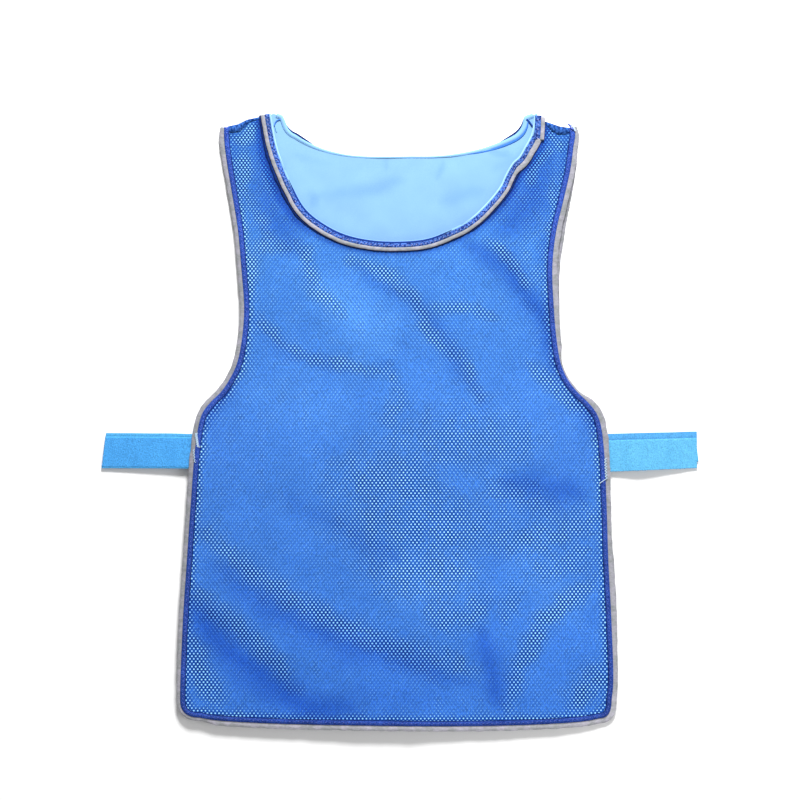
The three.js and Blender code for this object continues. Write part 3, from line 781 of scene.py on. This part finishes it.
def strip(name, path, inner, outer, low, high, height, material, slot, *nodes,
          wobble=0.0, seed=0.0, widths=None):
    """A flat strip beside a path: inner and outer are distances to its right, low and high
    are heights over the cloth. widths are shares of its width, or its width where that is 1."""
    shape = np.array(flat_section(inner, outer, low, high))
    right = right_of(path)
    count, sides = len(path), len(shape)
    bm = bmesh.new()
    bmesh.ops.create_grid(bm, x_segments=count - 1, y_segments=sides, size=0.5)
    uv = plan(bm) + 0.5
    i = np.rint(uv[:, 0] * (count - 1)).astype(int)
    j = np.rint(uv[:, 1] * sides).astype(int) % sides
    widest = np.abs(shape[:, 0]).max()
    starts = [Vector((k * PATH_STEP / WOBBLE_LENGTH, seed, 0)) for k in range(count)]
    wave = np.array([noise.fractal(start, 1.0, 2.0, 3) for start in starts])
    across = shape[j, 0] + wobble * wave[i] * np.abs(shape[j, 0]) / widest
    if widths is not None:
        across = shape[:, 0].min() + (across - shape[:, 0].min()) * widths[i]
    xy = path[i] + right[i] * across[:, None]
    place(bm, xy, height(xy) + shape[j, 1])
    bmesh.ops.remove_doubles(bm, verts=bm.verts[:], dist=SAME_PLACE)
    ends = [e for e in bm.edges if e.is_boundary]
    bmesh.ops.holes_fill(bm, edges=ends, sides=0)
    bmesh.ops.recalc_face_normals(bm, faces=bm.faces[:])
    settle(new_piece(name, bm, material), slot, *nodes)


def piping_widths(path, panel, inner):
    """The piping's width along a panel's edge, as shares of its full width."""
    across, up = shares(path)
    left = np.interp(up, LEFT_PIPING["up"], LEFT_PIPING["shows"])
    right = np.interp(up, RIGHT_PIPING["up"], RIGHT_PIPING[panel])
    shows = np.where(across > 0, right, left) * MM
    on_hem = (up < 0.03) & (np.abs(across) < 0.85)
    shows = np.where(on_hem, HEM_PIPING, shows)
    shows = np.convolve(np.pad(shows, 3, mode="edge"), np.ones(7) / 7, mode="valid")
    return (inner + shows) / (inner + PIPING_SHOWS)


def stitches(name, path, height, long, gap, thick, material, lean, raise_by):
    """A row of short threads along a path, joined in one mesh."""
    bm = bmesh.new()
    every = int(round((long + gap) / PATH_STEP))
    picks = np.arange(every // 2, len(path) - 1, every)
    along = np.gradient(path, axis=0)[picks]
    z = height(path[picks])
    for (x, y), run, h in zip(path[picks], along, z):
        matrix = (
            Matrix.Translation((x, y, h + raise_by))
            @ Matrix.Rotation(math.atan2(run[1], run[0]) + lean, 4, "Z")
            @ Matrix.Diagonal((long / 2, thick / 2, thick / 2.6, 1))
        )
        bmesh.ops.create_uvsphere(bm, u_segments=8, v_segments=5, radius=1, matrix=matrix)
    piece = new_piece(name, bm, material)
    settle(piece, "band")


def thread(name, points, radius, height, material):
    """A round thread through some points of the floor plan."""
    xy = np.array(points)
    z = height(xy)
    data = bpy.data.curves.new(name + "_line", "CURVE")
    data.dimensions = "3D"
    data.bevel_depth = radius
    data.bevel_resolution = 2
    line = data.splines.new("NURBS")
    line.points.add(len(xy) - 1)
    line.order_u = 3
    line.use_endpoint_u = True
    for point, (x, y), h in zip(line.points, xy, z):
        point.co = (x, y, h, 1)
    holder = bpy.data.objects.new(name + "_line", data)
    bpy.context.scene.collection.objects.link(holder)
    bpy.context.view_layer.update()
    mesh = bpy.data.meshes.new_from_object(holder)
    bpy.data.objects.remove(holder)
    mesh.name = name
    mesh.materials.clear()
    mesh.materials.append(material)
    mesh.shade_smooth()
    piece = bpy.data.objects.new(name, mesh)
    bpy.context.scene.collection.objects.link(piece)
    return piece


# Materials.


def material(name, roughness=0.8):
    made = bpy.data.materials.new(name)
    made.use_nodes = True
    tree = made.node_tree
    shader = tree.nodes["Principled BSDF"]
    shader.inputs["Roughness"].default_value = roughness
    shader.inputs["Specular IOR Level"].default_value = 0.12
    return made, tree, shader


def node(tree, kind, **values):
    made = tree.nodes.new(kind)
    for key, value in values.items():
        if key in made.inputs:
            made.inputs[key].default_value = value
        else:
            setattr(made, key, value)
    return made


def object_noise(tree, size, detail, stretch=(1, 1, 1)):
    """Noise on the object's own coordinates, with a grain of about size."""
    coords = node(tree, "ShaderNodeTexCoord")
    mapping = node(tree, "ShaderNodeMapping")
    mapping.inputs["Scale"].default_value = stretch
    grain = node(tree, "ShaderNodeTexNoise", Scale=1 / size, Detail=detail)
    tree.links.new(coords.outputs["Object"], mapping.inputs["Vector"])
    tree.links.new(mapping.outputs["Vector"], grain.inputs["Vector"])
    return grain.outputs["Fac"]


def ramp(tree, value, low, high, start=0.3, end=0.7):
    made = node(tree, "ShaderNodeValToRGB")
    made.color_ramp.elements[0].position = start
    made.color_ramp.elements[0].color = (*low, 1)
    made.color_ramp.elements[1].position = end
    made.color_ramp.elements[1].color = (*high, 1)
    tree.links.new(value, made.inputs["Fac"])
    return made.outputs["Color"]


def mixed(tree, blend, factor, a, b):
    made = node(tree, "ShaderNodeMix", data_type="RGBA", blend_type=blend)
    for socket, value in ((0, factor), (6, a), (7, b)):
        if isinstance(value, (float, int)):
            made.inputs[socket].default_value = value
        elif isinstance(value, tuple):
            made.inputs[socket].default_value = (*value, 1)
        else:
            tree.links.new(value, made.inputs[socket])
    return made.outputs[2]


def times(tree, *colours):
    product = colours[0]
    for colour in colours[1:]:
        product = mixed(tree, "MULTIPLY", 1.0, product, colour)
    return product


def attribute(tree, name):
    return node(tree, "ShaderNodeAttribute", attribute_name=name).outputs["Fac"]


def bump(tree, shader, value, strength, distance):
    made = node(tree, "ShaderNodeBump", Strength=strength, Distance=distance)
    tree.links.new(value, made.inputs["Height"])
    tree.links.new(made.outputs["Normal"], shader.inputs["Normal"])


def up_share(tree, end):
    """From 0 at the hem to 1 at a share of the panel's length."""
    coords = node(tree, "ShaderNodeTexCoord")
    parts = node(tree, "ShaderNodeSeparateXYZ")
    tree.links.new(coords.outputs["Object"], parts.inputs[0])
    height = node(tree, "ShaderNodeMapRange")
    height.inputs["From Min"].default_value = at(0, 0.0)[1]
    height.inputs["From Max"].default_value = at(0, end)[1]
    tree.links.new(parts.outputs["Y"], height.inputs["Value"])
    return height.outputs["Result"]


def toned(tree, colour, shade_at_shoulders=(1, 1, 1)):
    """A colour under the shade attribute, with painted shade and painted light: valleys turn
    deeper, crests lighter. Painted light also makes the cloth bluer towards the hem, where the
    light comes in flatter. Its last argument is the tint of painted shade that it takes on from
    the middle of its length up to the shoulders."""
    tone = attribute(tree, "shade")
    # Painted light: lighter and bluer towards the hem.
    hem = ramp(tree, up_share(tree, 1.0), (1.0, 1.10, 1.20), (1, 1, 1), 0.0, 0.5)
    # Painted shade from the middle of the length up to the shoulders.
    shoulders = ramp(tree, up_share(tree, 1.0), (1, 1, 1), shade_at_shoulders, 0.5, 1.0)
    # Painted shade in valleys and painted light on crests, by the shade attribute.
    deep = ramp(tree, tone, (0.16, 0.38, 0.74), (1, 1, 1), 0.0, 0.5)
    light = ramp(tree, tone, (1, 1, 1), (2.1, 1.7, 1.35), 0.5, 1.0)
    return times(tree, colour, hem, shoulders, deep, light)


# Painted shade: the net is deeper in tone at the shoulders, and so is what shows through it.
SHOULDER_PAINTED_SHADE = (0.80, 0.89, 0.82)


def net_material():
    made, tree, shader = material("knitted_net", roughness=0.62)
    # Slack yarn is lighter and tight yarn darker: partly the stretched yarn's own tone, partly
    # painted sheen.
    slack, tight = (0.034, 0.142, 0.50), (0.0010, 0.044, 0.25)
    yarn = ramp(tree, attribute(tree, "tightness"), slack, tight, 0.2, 0.9)
    fibre = ramp(tree, object_noise(tree, 1.1 * MM, 2, (1, 0.45, 1)), (0.66,) * 3, (1.25,) * 3)
    patches = ramp(tree, object_noise(tree, 40 * MM, 3), (0.93,) * 3, (1.07,) * 3)
    colour = toned(tree, times(tree, yarn, fibre, patches), SHOULDER_PAINTED_SHADE)
    tree.links.new(colour, shader.inputs["Base Color"])
    bump(tree, shader, object_noise(tree, 0.5 * MM, 3, (1, 0.4, 1)), 0.5, 0.25 * MM)
    return made


def under_net_material():
    """The lining as it shows through the net, dark over the seam allowance, and with painted shadow
    of the net: darker where the net is slack and lighter where it is tight.
    """
    made, tree, shader = material("lining_under_net", roughness=0.8)
    slack, tight, allowance = (0.12, 0.34, 0.66), (0.33, 0.65, 0.95), (0.008, 0.035, 0.20)
    # Painted shadow: the slack net shades the lining further below it, while under the tight net it
    # shows lit.
    colour = ramp(tree, attribute(tree, "tightness"), slack, tight, 0.15, 0.75)
    colour = mixed(tree, "MIX", attribute(tree, "allowance"), colour, allowance)
    tree.links.new(toned(tree, colour, SHOULDER_PAINTED_SHADE), shader.inputs["Base Color"])
    return made


def piping_material():
    """Grey tape, with painted light along the hem, where it lies open to the light, and painted
    shade higher up the sides.
    """
    made, tree, shader = material("piping_tape", roughness=0.7)
    # Painted light along the hem, and painted shade above it.
    tape = ramp(tree, up_share(tree, 0.06), (0.43, 0.43, 0.47), (0.315, 0.320, 0.345), 0.0, 1.0)
    shade_up_the_sides = ramp(tree, up_share(tree, 0.45), (1, 1, 1), (0.75, 0.75, 0.76), 0.0, 1.0)
    grain = ramp(tree, object_noise(tree, 1.4 * MM, 3, (0.6, 1, 1)), (0.84,) * 3, (1.14,) * 3)
    dull, bright = (0.85, 0.87, 0.84), (1.10, 1.06, 1.12)
    patches = ramp(tree, object_noise(tree, 7 * MM, 2), dull, bright, 0.38, 0.62)
    tree.links.new(times(tree, tape, shade_up_the_sides, grain, patches), shader.inputs["Base Color"])
    bump(tree, shader, object_noise(tree, 2.5 * MM, 3, (0.5, 1, 1)), 0.8, 0.5 * MM)
    return made


def cloth_material(name, dark, light, grain, stretch=(1, 1, 1), patch=0.05, depth=0.15,
                   blend=0.2, shaded=False):
    """A close cloth: a fine grain in two tones, with faint larger patches and a fine relief
    of depth in millimetres."""
    made, tree, shader = material(name)
    fine = ramp(tree, object_noise(tree, grain, 3, stretch), dark, light, 0.5 - blend, 0.5 + blend)
    patches = ramp(tree, object_noise(tree, 30 * MM, 2), (1 - patch,) * 3, (1 + patch,) * 3)
    colour = times(tree, fine, patches)
    tree.links.new(toned(tree, colour) if shaded else colour, shader.inputs["Base Color"])
    bump(tree, shader, object_noise(tree, grain, 3, stretch), 0.6, depth * MM)
    return made


def strap_material(name, body, edge):
    """Loop pile in the middle of the strap and a plain woven edge, by the edge attribute."""
    made, tree, shader = material(name, roughness=0.85)
    loops = ramp(tree, object_noise(tree, 1.25 * MM, 3, (1.3, 0.8, 1)), (0.72,) * 3, (1.25,) * 3)
    worn, fresh = (0.90, 0.93, 0.95), (1.08, 1.05, 1.04)
    wear = ramp(tree, object_noise(tree, 14 * MM, 2, (1.6, 0.6, 1)), worn, fresh)
    colour = mixed(tree, "MIX", attribute(tree, "edge"), body, edge)
    tree.links.new(times(tree, colour, loops, wear), shader.inputs["Base Color"])
    bump(tree, shader, object_noise(tree, 0.9 * MM, 2), 0.5, 0.4 * MM)
    return made


NET = net_material()
LINING_TONES = ((0.158, 0.312, 0.52), (0.186, 0.350, 0.58))
LINING = cloth_material("lining_cloth", *LINING_TONES, 0.6 * MM, depth=0.06)
# The back lining, with painted shade in its creases and the painted shade and light of toned.
LINING_PAINTED_SHADE = cloth_material(
    "lining_cloth_painted_crease_shade", *LINING_TONES, 0.6 * MM, patch=0.02, depth=0.06, shaded=True
)
# A painted highlight on the lining's edge at the neck.
NECK_EDGE_HIGHLIGHT = cloth_material(
    "neck_edge_painted_highlight", (0.225, 0.405, 0.58), (0.275, 0.465, 0.62), 0.8 * MM, depth=0.06
)
UNDER_NET = under_net_material()
BAND = cloth_material(
    "band_cloth", (0.004, 0.020, 0.16), (0.034, 0.085, 0.38), 0.9 * MM,
    patch=0.2, depth=0.3, blend=0.1,
)
NECK_CLOTH = cloth_material(
    "neck_band_cloth", (0.003, 0.014, 0.12), (0.055, 0.135, 0.43), 1.6 * MM,
    patch=0.3, depth=0.5, blend=0.08,
)
FACING = cloth_material(
    "facing_cloth", (0.0005, 0.004, 0.045), (0.003, 0.024, 0.15), 1.2 * MM, patch=0.2, depth=0.3
)
FOLD = cloth_material(
    "fold_cloth", (0.001, 0.022, 0.12), (0.026, 0.098, 0.34), 1.7 * MM, (1, 0.6, 1),
    depth=0.3, blend=0.09,
)
PIPING = piping_material()
THREAD = cloth_material("stitch_thread", (0.05, 0.08, 0.36), (0.13, 0.17, 0.52), 0.6 * MM)
PALE_THREAD = cloth_material("neck_thread", (0.12, 0.15, 0.40), (0.27, 0.30, 0.52), 0.6 * MM)
SEAM_LINE = cloth_material("seam_line", (0.145, 0.320, 0.55), (0.180, 0.375, 0.60), 0.7 * MM)
BLUE_LINE = cloth_material("blue_line", (0.020, 0.10, 0.42), (0.045, 0.17, 0.52), 0.7 * MM)
DARK_LINE = cloth_material("dark_line", (0.002, 0.014, 0.13), (0.010, 0.05, 0.26), 0.7 * MM)
BAR_TACK = cloth_material("bar_tack_thread", (0.33, 0.46, 0.60), (0.46, 0.58, 0.68), 0.5 * MM)
LEFT_STRAP = strap_material("left_strap_pile", (0.056, 0.283, 0.63), (0.074, 0.345, 0.66))
RIGHT_STRAP = strap_material("right_strap_pile", (0.095, 0.36, 0.61), (0.072, 0.29, 0.59))


# The camera looks straight down. The photo's middle pixel sees the point VIEW_MIDDLE.

VIEW_MIDDLE = (0.0007, 0.0223)
VIEW_WIDTH = 0.800
CAMERA_HEIGHT = 3.2
SENSOR_MM = 36.0
VEST_MIDDLE_HEIGHT = 8 * MM

camera_data = bpy.data.cameras.new("camera")
camera_data.sensor_width = SENSOR_MM
camera_data.lens = SENSOR_MM * (CAMERA_HEIGHT - VEST_MIDDLE_HEIGHT) / VIEW_WIDTH
camera = bpy.data.objects.new("camera", camera_data)
camera.location = (*VIEW_MIDDLE, CAMERA_HEIGHT)
bpy.context.scene.collection.objects.link(camera)
bpy.context.scene.camera = camera
bpy.context.scene.view_settings.view_transform = "Standard"

# Light: a soft key from beyond the neck, a weak fill from the lower right, and a white surround.

KEY = {"place": (0.10, 1.35, 0.94), "size": 0.55, "power": 57.0}
FILL = {"place": (1.00, -0.50, 0.70), "size": 0.90, "power": 6.0}
SURROUND = 0.36


def area_light(name, place, size, power):
    data = bpy.data.lights.new(name, "AREA")
    data.shape = "DISK"
    data.size = size
    data.energy = power
    lamp = bpy.data.objects.new(name, data)
    lamp.location = place
    lamp.rotation_mode = "QUATERNION"
    lamp.rotation_quaternion = (-Vector(place)).to_track_quat("-Z", "Y")
    bpy.context.scene.collection.objects.link(lamp)


area_light("key", **KEY)
area_light("fill", **FILL)

world = bpy.data.worlds.new("surround")
world.use_nodes = True
world.node_tree.nodes["Background"].inputs["Color"].default_value = (1, 1, 1, 1)
world.node_tree.nodes["Background"].inputs["Strength"].default_value = SURROUND
bpy.context.scene.world = world

floor_bm = bmesh.new()
bmesh.ops.create_grid(floor_bm, x_segments=1, y_segments=1, size=3)
floor_material, _, floor_shader = material("floor", roughness=0.9)
floor_shader.inputs["Base Color"].default_value = (0.95, 0.95, 0.95, 1)
floor = new_piece("floor", floor_bm, floor_material)


# The back panel, which lies flat on the floor.

back_top = Heights("back_lining")


def back_lining_height(points):
    return back_top(points) + 0.5 * MM * ripple(points, 34 * MM, 2, 12.0)


back_net = net(
    "back_net_cloth", back_side, back_hole, (0.3 * MM, 0.4 * MM, 0.2 * MM),
    plain(0.5 * MM), plain(0.5), plain(1), NET,
)
settle(back_net, "net", "back_net")
back_lining = cloth(
    "back_lining_cloth", back_side, back_hole, (3 * MM, 1 * MM, 0.6 * MM), back_lining_height,
    LINING_PAINTED_SHADE, step=3 * MM, marks=(("shade", lining_shade),),
)
settle(back_lining, "lining", "back_lining")
strip(
    "back_piping_tape", back_edge, -4 * MM, PIPING_SHOWS, 1.2 * MM, 2.1 * MM, plain(0), PIPING,
    "piping", "back_piping", wobble=0.4 * MM, seed=5.0,
    widths=piping_widths(back_edge, "back", 4 * MM),
)

# The rolled neck edge has a seam along it, which is deep on the right, and a seam at its foot.
roll_wide = shows_along(back_neck, ROLL_SHOWS) * MM
strip(
    "back_neck_roll_cloth", back_neck, 0, 1, 1.5 * MM, 2.9 * MM, plain(0), LINING,
    "lining", "back_neck_roll", wobble=0.05, seed=8.0, widths=roll_wide,
)
roll_seam = back_neck + right_of(back_neck) * (roll_wide - 0.6 * MM)[:, None]
strip(
    "back_neck_seam", roll_seam, 0, 0.8 * MM, 2.4 * MM, 3.05 * MM, plain(0), SEAM_LINE, "lining"
)
# The deep part of the seam shows as a darker blue line: partly the seam itself, partly painted
# shade in its groove.
deep_seam = part_of(roll_seam, 0.72, 0.97)
strip(
    "back_neck_deep_seam", deep_seam, 0, 2.4 * MM, 2.5 * MM, 3.2 * MM, plain(0), BLUE_LINE,
    "lining", widths=np.sin(np.linspace(0.15, math.pi - 0.3, len(deep_seam))),
)
strip(
    "back_neck_edge_seam", beside(back_neck, -0.35 * MM), 0, 0.8 * MM, 1.0 * MM, 2.2 * MM,
    plain(0), SEAM_LINE, "lining",
)
for side_name, start, end in (("left", 0.05, 0.19), ("right", 0.83, 0.97)):
    part = part_of(back_neck, start, end)
    strip(
        "back_neck_net_" + side_name, beside(part, 0.6 * MM)[::-1], 0, 3.0 * MM, 0.3 * MM,
        1.2 * MM, plain(0), FACING, "net",
        widths=np.sin(np.linspace(0, math.pi, len(part))) ** 0.6,
    )

# The front panel.


def front_lining_height(points):
    """The lining lies close under the net where that is tight, and lower where it is slack."""
    return front_height(points) - (0.32 - 0.20 * tightness(points)) * MM


front_lining = cloth(
    "front_lining_cloth", front_side, front_hole, (1.5 * MM, 0.4 * MM, 1.0 * MM),
    front_lining_height, UNDER_NET, step=2.6 * MM,
    marks=(("tightness", tightness), ("shade", shade), ("allowance", beside_neck)),
)
settle(front_lining, "lining", "front_lining")
front_net = net(
    "front_net_cloth", front_side, front_hole, (0.3 * MM, PIPING_START, 0.2 * MM),
    front_height, tightness, shade, NET,
)
settle(front_net, "net", "front_net")
strip(
    "front_piping_tape", front_edge, -3 * MM, PIPING_SHOWS, -1.3 * MM, -0.3 * MM, front_height,
    PIPING, "piping", "front_piping", wobble=0.6 * MM,
    widths=piping_widths(front_edge, "front", 3 * MM),
)
strip(
    "edge_band", front_edge, -EDGE_BAND, 0.2 * MM, -0.2 * MM, 0.55 * MM, front_height, BAND,
    "band", wobble=0.25 * MM, seed=2.0,
)
strip(
    "edge_seam", beside(front_edge, -EDGE_BAND - 0.7 * MM), 0, 0.9 * MM, 0.05 * MM, 0.3 * MM,
    front_height, FACING, "band",
)
stitches(
    "edge_stitches", beside(front_edge, -2.4 * MM), front_height, 2.0 * MM, 2.5 * MM, 0.8 * MM,
    THREAD, lean=0.55, raise_by=0.75 * MM,
)

# The neck. At the right shoulder the band and its piping are one upright tab over the end of
# the lower ones.
TAB_FOOT = 0.957
on_right = front_neck[:, 0] > MIDDLE_X
under_tab = on_right & (front_neck[:, 1] > at(0, TAB_FOOT)[1] + 5 * MM)
lower_neck = front_neck[~under_tab]
tab_path = even(np.array([at(0.622, TAB_FOOT), at(0.626, 0.976), at(0.627, 0.9965)]))

strip(
    "neck_edge_cloth", front_neck, 0, NECK_EDGE + 1 * MM, -1.0 * MM, 0.2 * MM, front_height,
    LINING, "lining", wobble=0.3 * MM, seed=3.0,
)
# The neck edge has a painted highlight high up on both sides, where it catches the light, and has a
# frayed, dark edge of the band over it at the bottom.
TAPER_POINTS = 12
for name, start, end, offset, wide, top, finish in (
    ("left_neck_edge_light", 0.0, 0.15, 0, NECK_EDGE, 0.35 * MM, NECK_EDGE_HIGHLIGHT),
    ("right_neck_edge_light", 0.66, 1.0, 0, NECK_EDGE, 0.35 * MM, NECK_EDGE_HIGHLIGHT),
    ("neck_band_edge", 0.17, 0.64, 0.5 * MM, 2.0 * MM, 1.0 * MM, DARK_LINE),
):
    part = part_of(front_neck, start, end)
    to_start = np.arange(len(part)) if start > 0 else TAPER_POINTS
    to_end = np.arange(len(part))[::-1] if end < 1 else TAPER_POINTS
    strip(
        name, beside(part, offset), 0, wide, -0.2 * MM, top, front_height, finish, "lining",
        wobble=0.3 * MM, seed=17.0,
        widths=np.clip(np.minimum(to_start, to_end) / TAPER_POINTS, 0.1, 1),
    )
strip(
    "neck_band_cloth", lower_neck, NECK_EDGE, PIPING_START + 0.3 * MM, -0.2 * MM, 0.8 * MM,
    front_height, NECK_CLOTH, "band", "neck_band", wobble=0.5 * MM, seed=4.0,
)
strip(
    "neck_tab_band", tab_path, 0, 6.7 * MM, 0.5 * MM, 1.6 * MM, front_height, NECK_CLOTH, "band"
)
strip(
    "neck_piping_tape", lower_neck, PIPING_START, PIPING_START + NECK_PIPING, 0.5 * MM, 1.7 * MM,
    front_height, PIPING, "piping", "neck_piping", wobble=0.3 * MM, seed=7.0,
    widths=shows_along(lower_neck, NECK_PIPING_SHOWS),
)
strip(
    "neck_tab_piping", beside(tab_path, 6.0 * MM)[:-1], 0, 4.0 * MM, 1.0 * MM, 2.2 * MM,
    front_height, PIPING, "piping",
)
for path, name, offset, lift in (
    (lower_neck, "neck_stitches", NECK_EDGE + 0.6 * NECK_BAND, 1.0 * MM),
    (tab_path, "neck_tab_stitches", 3.2 * MM, 1.8 * MM),
):
    stitches(
        name, beside(path, offset), front_height, 2.4 * MM, 2.0 * MM, 0.8 * MM,
        PALE_THREAD, lean=0.6, raise_by=lift,
    )
facing_shows = shows_along(lower_neck, FACING_SHOWS) * MM
strip(
    "neck_facing", beside(lower_neck, PIPING_START + NECK_PIPING - 0.8 * MM), 0, 1, 0.02 * MM,
    0.4 * MM, front_height, FACING, "band", wobble=0.25, seed=11.0,
    widths=0.38 * facing_shows + 0.8 * MM,
)


def fold(name, table):
    """The dark fold along the top of a shoulder."""
    across, up = zip(*[(row["across"], row["up"]) for row in SHOULDER_ROWS])
    tops = np.interp(table["across"], across, up)
    path = even(np.array([at(a, u) for a, u in zip(table["across"], tops)]))
    strip(
        name, path, 0, 1, 0.02 * MM, 0.22 * MM, front_height, FOLD, "net", wobble=0.22, seed=13.0,
        widths=np.interp(shares(path)[0], table["across"], table["shows"]) * MM,
    )


fold("left_shoulder_fold", LEFT_FOLD)
fold("right_shoulder_fold", RIGHT_FOLD)


# The straps. Lengths of a row are in millimetres, and root and end are shares of the panel's
# length. lift raises the strap at LIFT_PLACES from its root to its end.

LIFT_PLACES = (0, 0.19, 0.467, 0.763, 1)
STRAPS = [
    {"node": "left_strap", "side": -1, "root": 0.4486, "end": 0.4494, "root_half": 17.4,
     "end_half": 17.6, "slant": 4.5, "top_edge": 0.80, "low_edge": 0.95, "wave": 0.6,
     "lift": (0, 0, 0, 0, 0), "material": LEFT_STRAP},
    {"node": "right_strap", "side": 1, "root": 0.4446, "end": 0.4507, "root_half": 19.2,
     "end_half": 18.3, "slant": 0.2, "top_edge": 0.66, "low_edge": 1.2, "wave": 0.25,
     "lift": (0, -1.4, 1.9, 0.7, -0.1), "material": RIGHT_STRAP},
]
STRAP_GRID = (180, 70)
STRAP_THICK = 1.0 * MM
PILE = 0.35 * MM
LOOP_SIZE = 1.0 * MM


def smooth_steps(values, places, levels):
    """Levels at given places, with smooth steps between them."""
    k = np.clip(np.searchsorted(places, values, side="right") - 1, 0, len(places) - 2)
    places, levels = np.array(places, float), np.array(levels, float)
    t = np.clip((values - places[k]) / (places[k + 1] - places[k]), 0, 1)
    return levels[k] + (levels[k + 1] - levels[k]) * t * t * (3 - 2 * t)


def strap(row):
    """A strap and its height over the floor plan. The pile lies between two plain edges."""
    top = Heights(row["node"])
    low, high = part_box(row["node"])
    near, far = (high.x, low.x) if row["side"] < 0 else (low.x, high.x)
    bm = bmesh.new()
    bmesh.ops.create_grid(bm, x_segments=STRAP_GRID[0], y_segments=STRAP_GRID[1], size=0.5)
    uv = plan(bm) + 0.5
    share, v = uv[:, 0], 2 * uv[:, 1] - 1
    middle = at(0, row["root"])[1] + (row["end"] - row["root"]) * PANEL_LENGTH * share
    half = (row["root_half"] + (row["end_half"] - row["root_half"]) * share) * MM
    waves = [noise.noise(Vector((s * 3.4, row["side"] * 2.0, 0))) for s in share]
    wave = row["wave"] * MM * np.array(waves)
    x = near + (far - near) * share - row["side"] * row["slant"] * MM * 0.5 * (v + 1) * share**6
    y = middle + v * half + wave * (0.6 + 0.4 * v)
    xy = np.stack([x, y], 1)
    inside = np.minimum((row["top_edge"] - v) / 0.05, (row["low_edge"] + v) / 0.03)
    pile = np.clip(inside, 0, 1)
    gutter = np.exp(-((inside / 0.7) ** 2))
    relief = PILE * pile * (1 + 0.9 * ripple(xy, LOOP_SIZE, 2, 3.0)) - PILE * gutter
    lift = MM * smooth_steps(share, LIFT_PLACES, row["lift"])
    marked(bm, "edge", 1 - pile)
    place(bm, xy, top(xy) - 0.5 * MM + relief + lift)
    bmesh.ops.recalc_face_normals(bm, faces=bm.faces[:])
    if bm.faces[0].normal.z < 0:
        bmesh.ops.reverse_faces(bm, faces=bm.faces[:])
    bmesh.ops.solidify(bm, geom=bm.faces[:], thickness=STRAP_THICK)
    piece = new_piece(row["node"] + "_tape", bm, row["material"])
    settle(piece, "strap", row["node"])
    return piece, top


strap_tapes, strap_tops = zip(*[strap(row) for row in STRAPS])

# A second layer shows past the right strap's end.
layer_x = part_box("right_strap")[1].x - 0.2 * MM
second_layer = even(np.array([(layer_x, at(0, up)[1]) for up in (0.431, 0.4555)]))
strip(
    "right_strap_under_layer", second_layer, -3 * MM, 1.9 * MM, -1.9 * MM, -0.9 * MM,
    strap_tops[1], RIGHT_STRAP, "strap", widths=np.linspace(1.0, 0.63, len(second_layer)),
)

# Bar tacks where the straps are sewn on, and loose thread ends at the neck and shoulder.


def through(*places):
    return [at(across, up) for across, up in places]


def zigzag(across, up, width, turns):
    """Points to and fro across a line in shares."""
    start, end = at(across[0], up[0]), at(across[1], up[1])
    return [
        start + (end - start) * k / turns + (width * MM * (-1) ** k, 0) for k in range(turns + 1)
    ]


def over_front(distance):
    return lambda points: front_height(points) + distance


on_edge = over_front(0.9 * MM)
on_shoulder = over_front(1.4 * MM)
at_neck_end = plain(3.1 * MM)
for name, points, radius, height, finish, slot in (
    ("left_bar_tack", zigzag((-0.915, -0.905), (0.478, 0.455), 2.2, 14),
     0.42, on_edge, BAR_TACK, "strap"),
    ("left_bar_tack_low", zigzag((-0.925, -0.92), (0.452, 0.43), 1.2, 10),
     0.32, on_edge, BAR_TACK, "strap"),
    ("right_bar_tack",
     zigzag((0.945, 0.95), (0.437, 0.405), 1.8, 14) + through((0.935, 0.4), (0.92, 0.396)),
     0.40, on_edge, BAR_TACK, "strap"),
    ("left_neck_end_stitch",
     through((-0.530, 0.990), (-0.543, 0.990), (-0.556, 0.985), (-0.559, 0.980)),
     0.6, at_neck_end, BLUE_LINE, "band"),
    ("left_neck_end_stitch_low", through((-0.556, 0.981), (-0.554, 0.976), (-0.549, 0.970)),
     0.6, at_neck_end, SEAM_LINE, "band"),
    ("right_neck_end_stitch",
     through((0.588, 0.9905), (0.598, 0.988), (0.606, 0.984), (0.616, 0.979)),
     0.9, at_neck_end, DARK_LINE, "band"),
    ("shoulder_thread",
     through((0.777, 0.9825), (0.786, 0.980), (0.791, 0.975), (0.802, 0.974)),
     0.9, on_shoulder, THREAD, "band"),
    ("shoulder_thread_pale", through((0.790, 0.981), (0.802, 0.978), (0.809, 0.971)),
     0.7, on_shoulder, BAR_TACK, "band"),
):
    settle(thread(name, points, radius * MM, height, finish), slot)
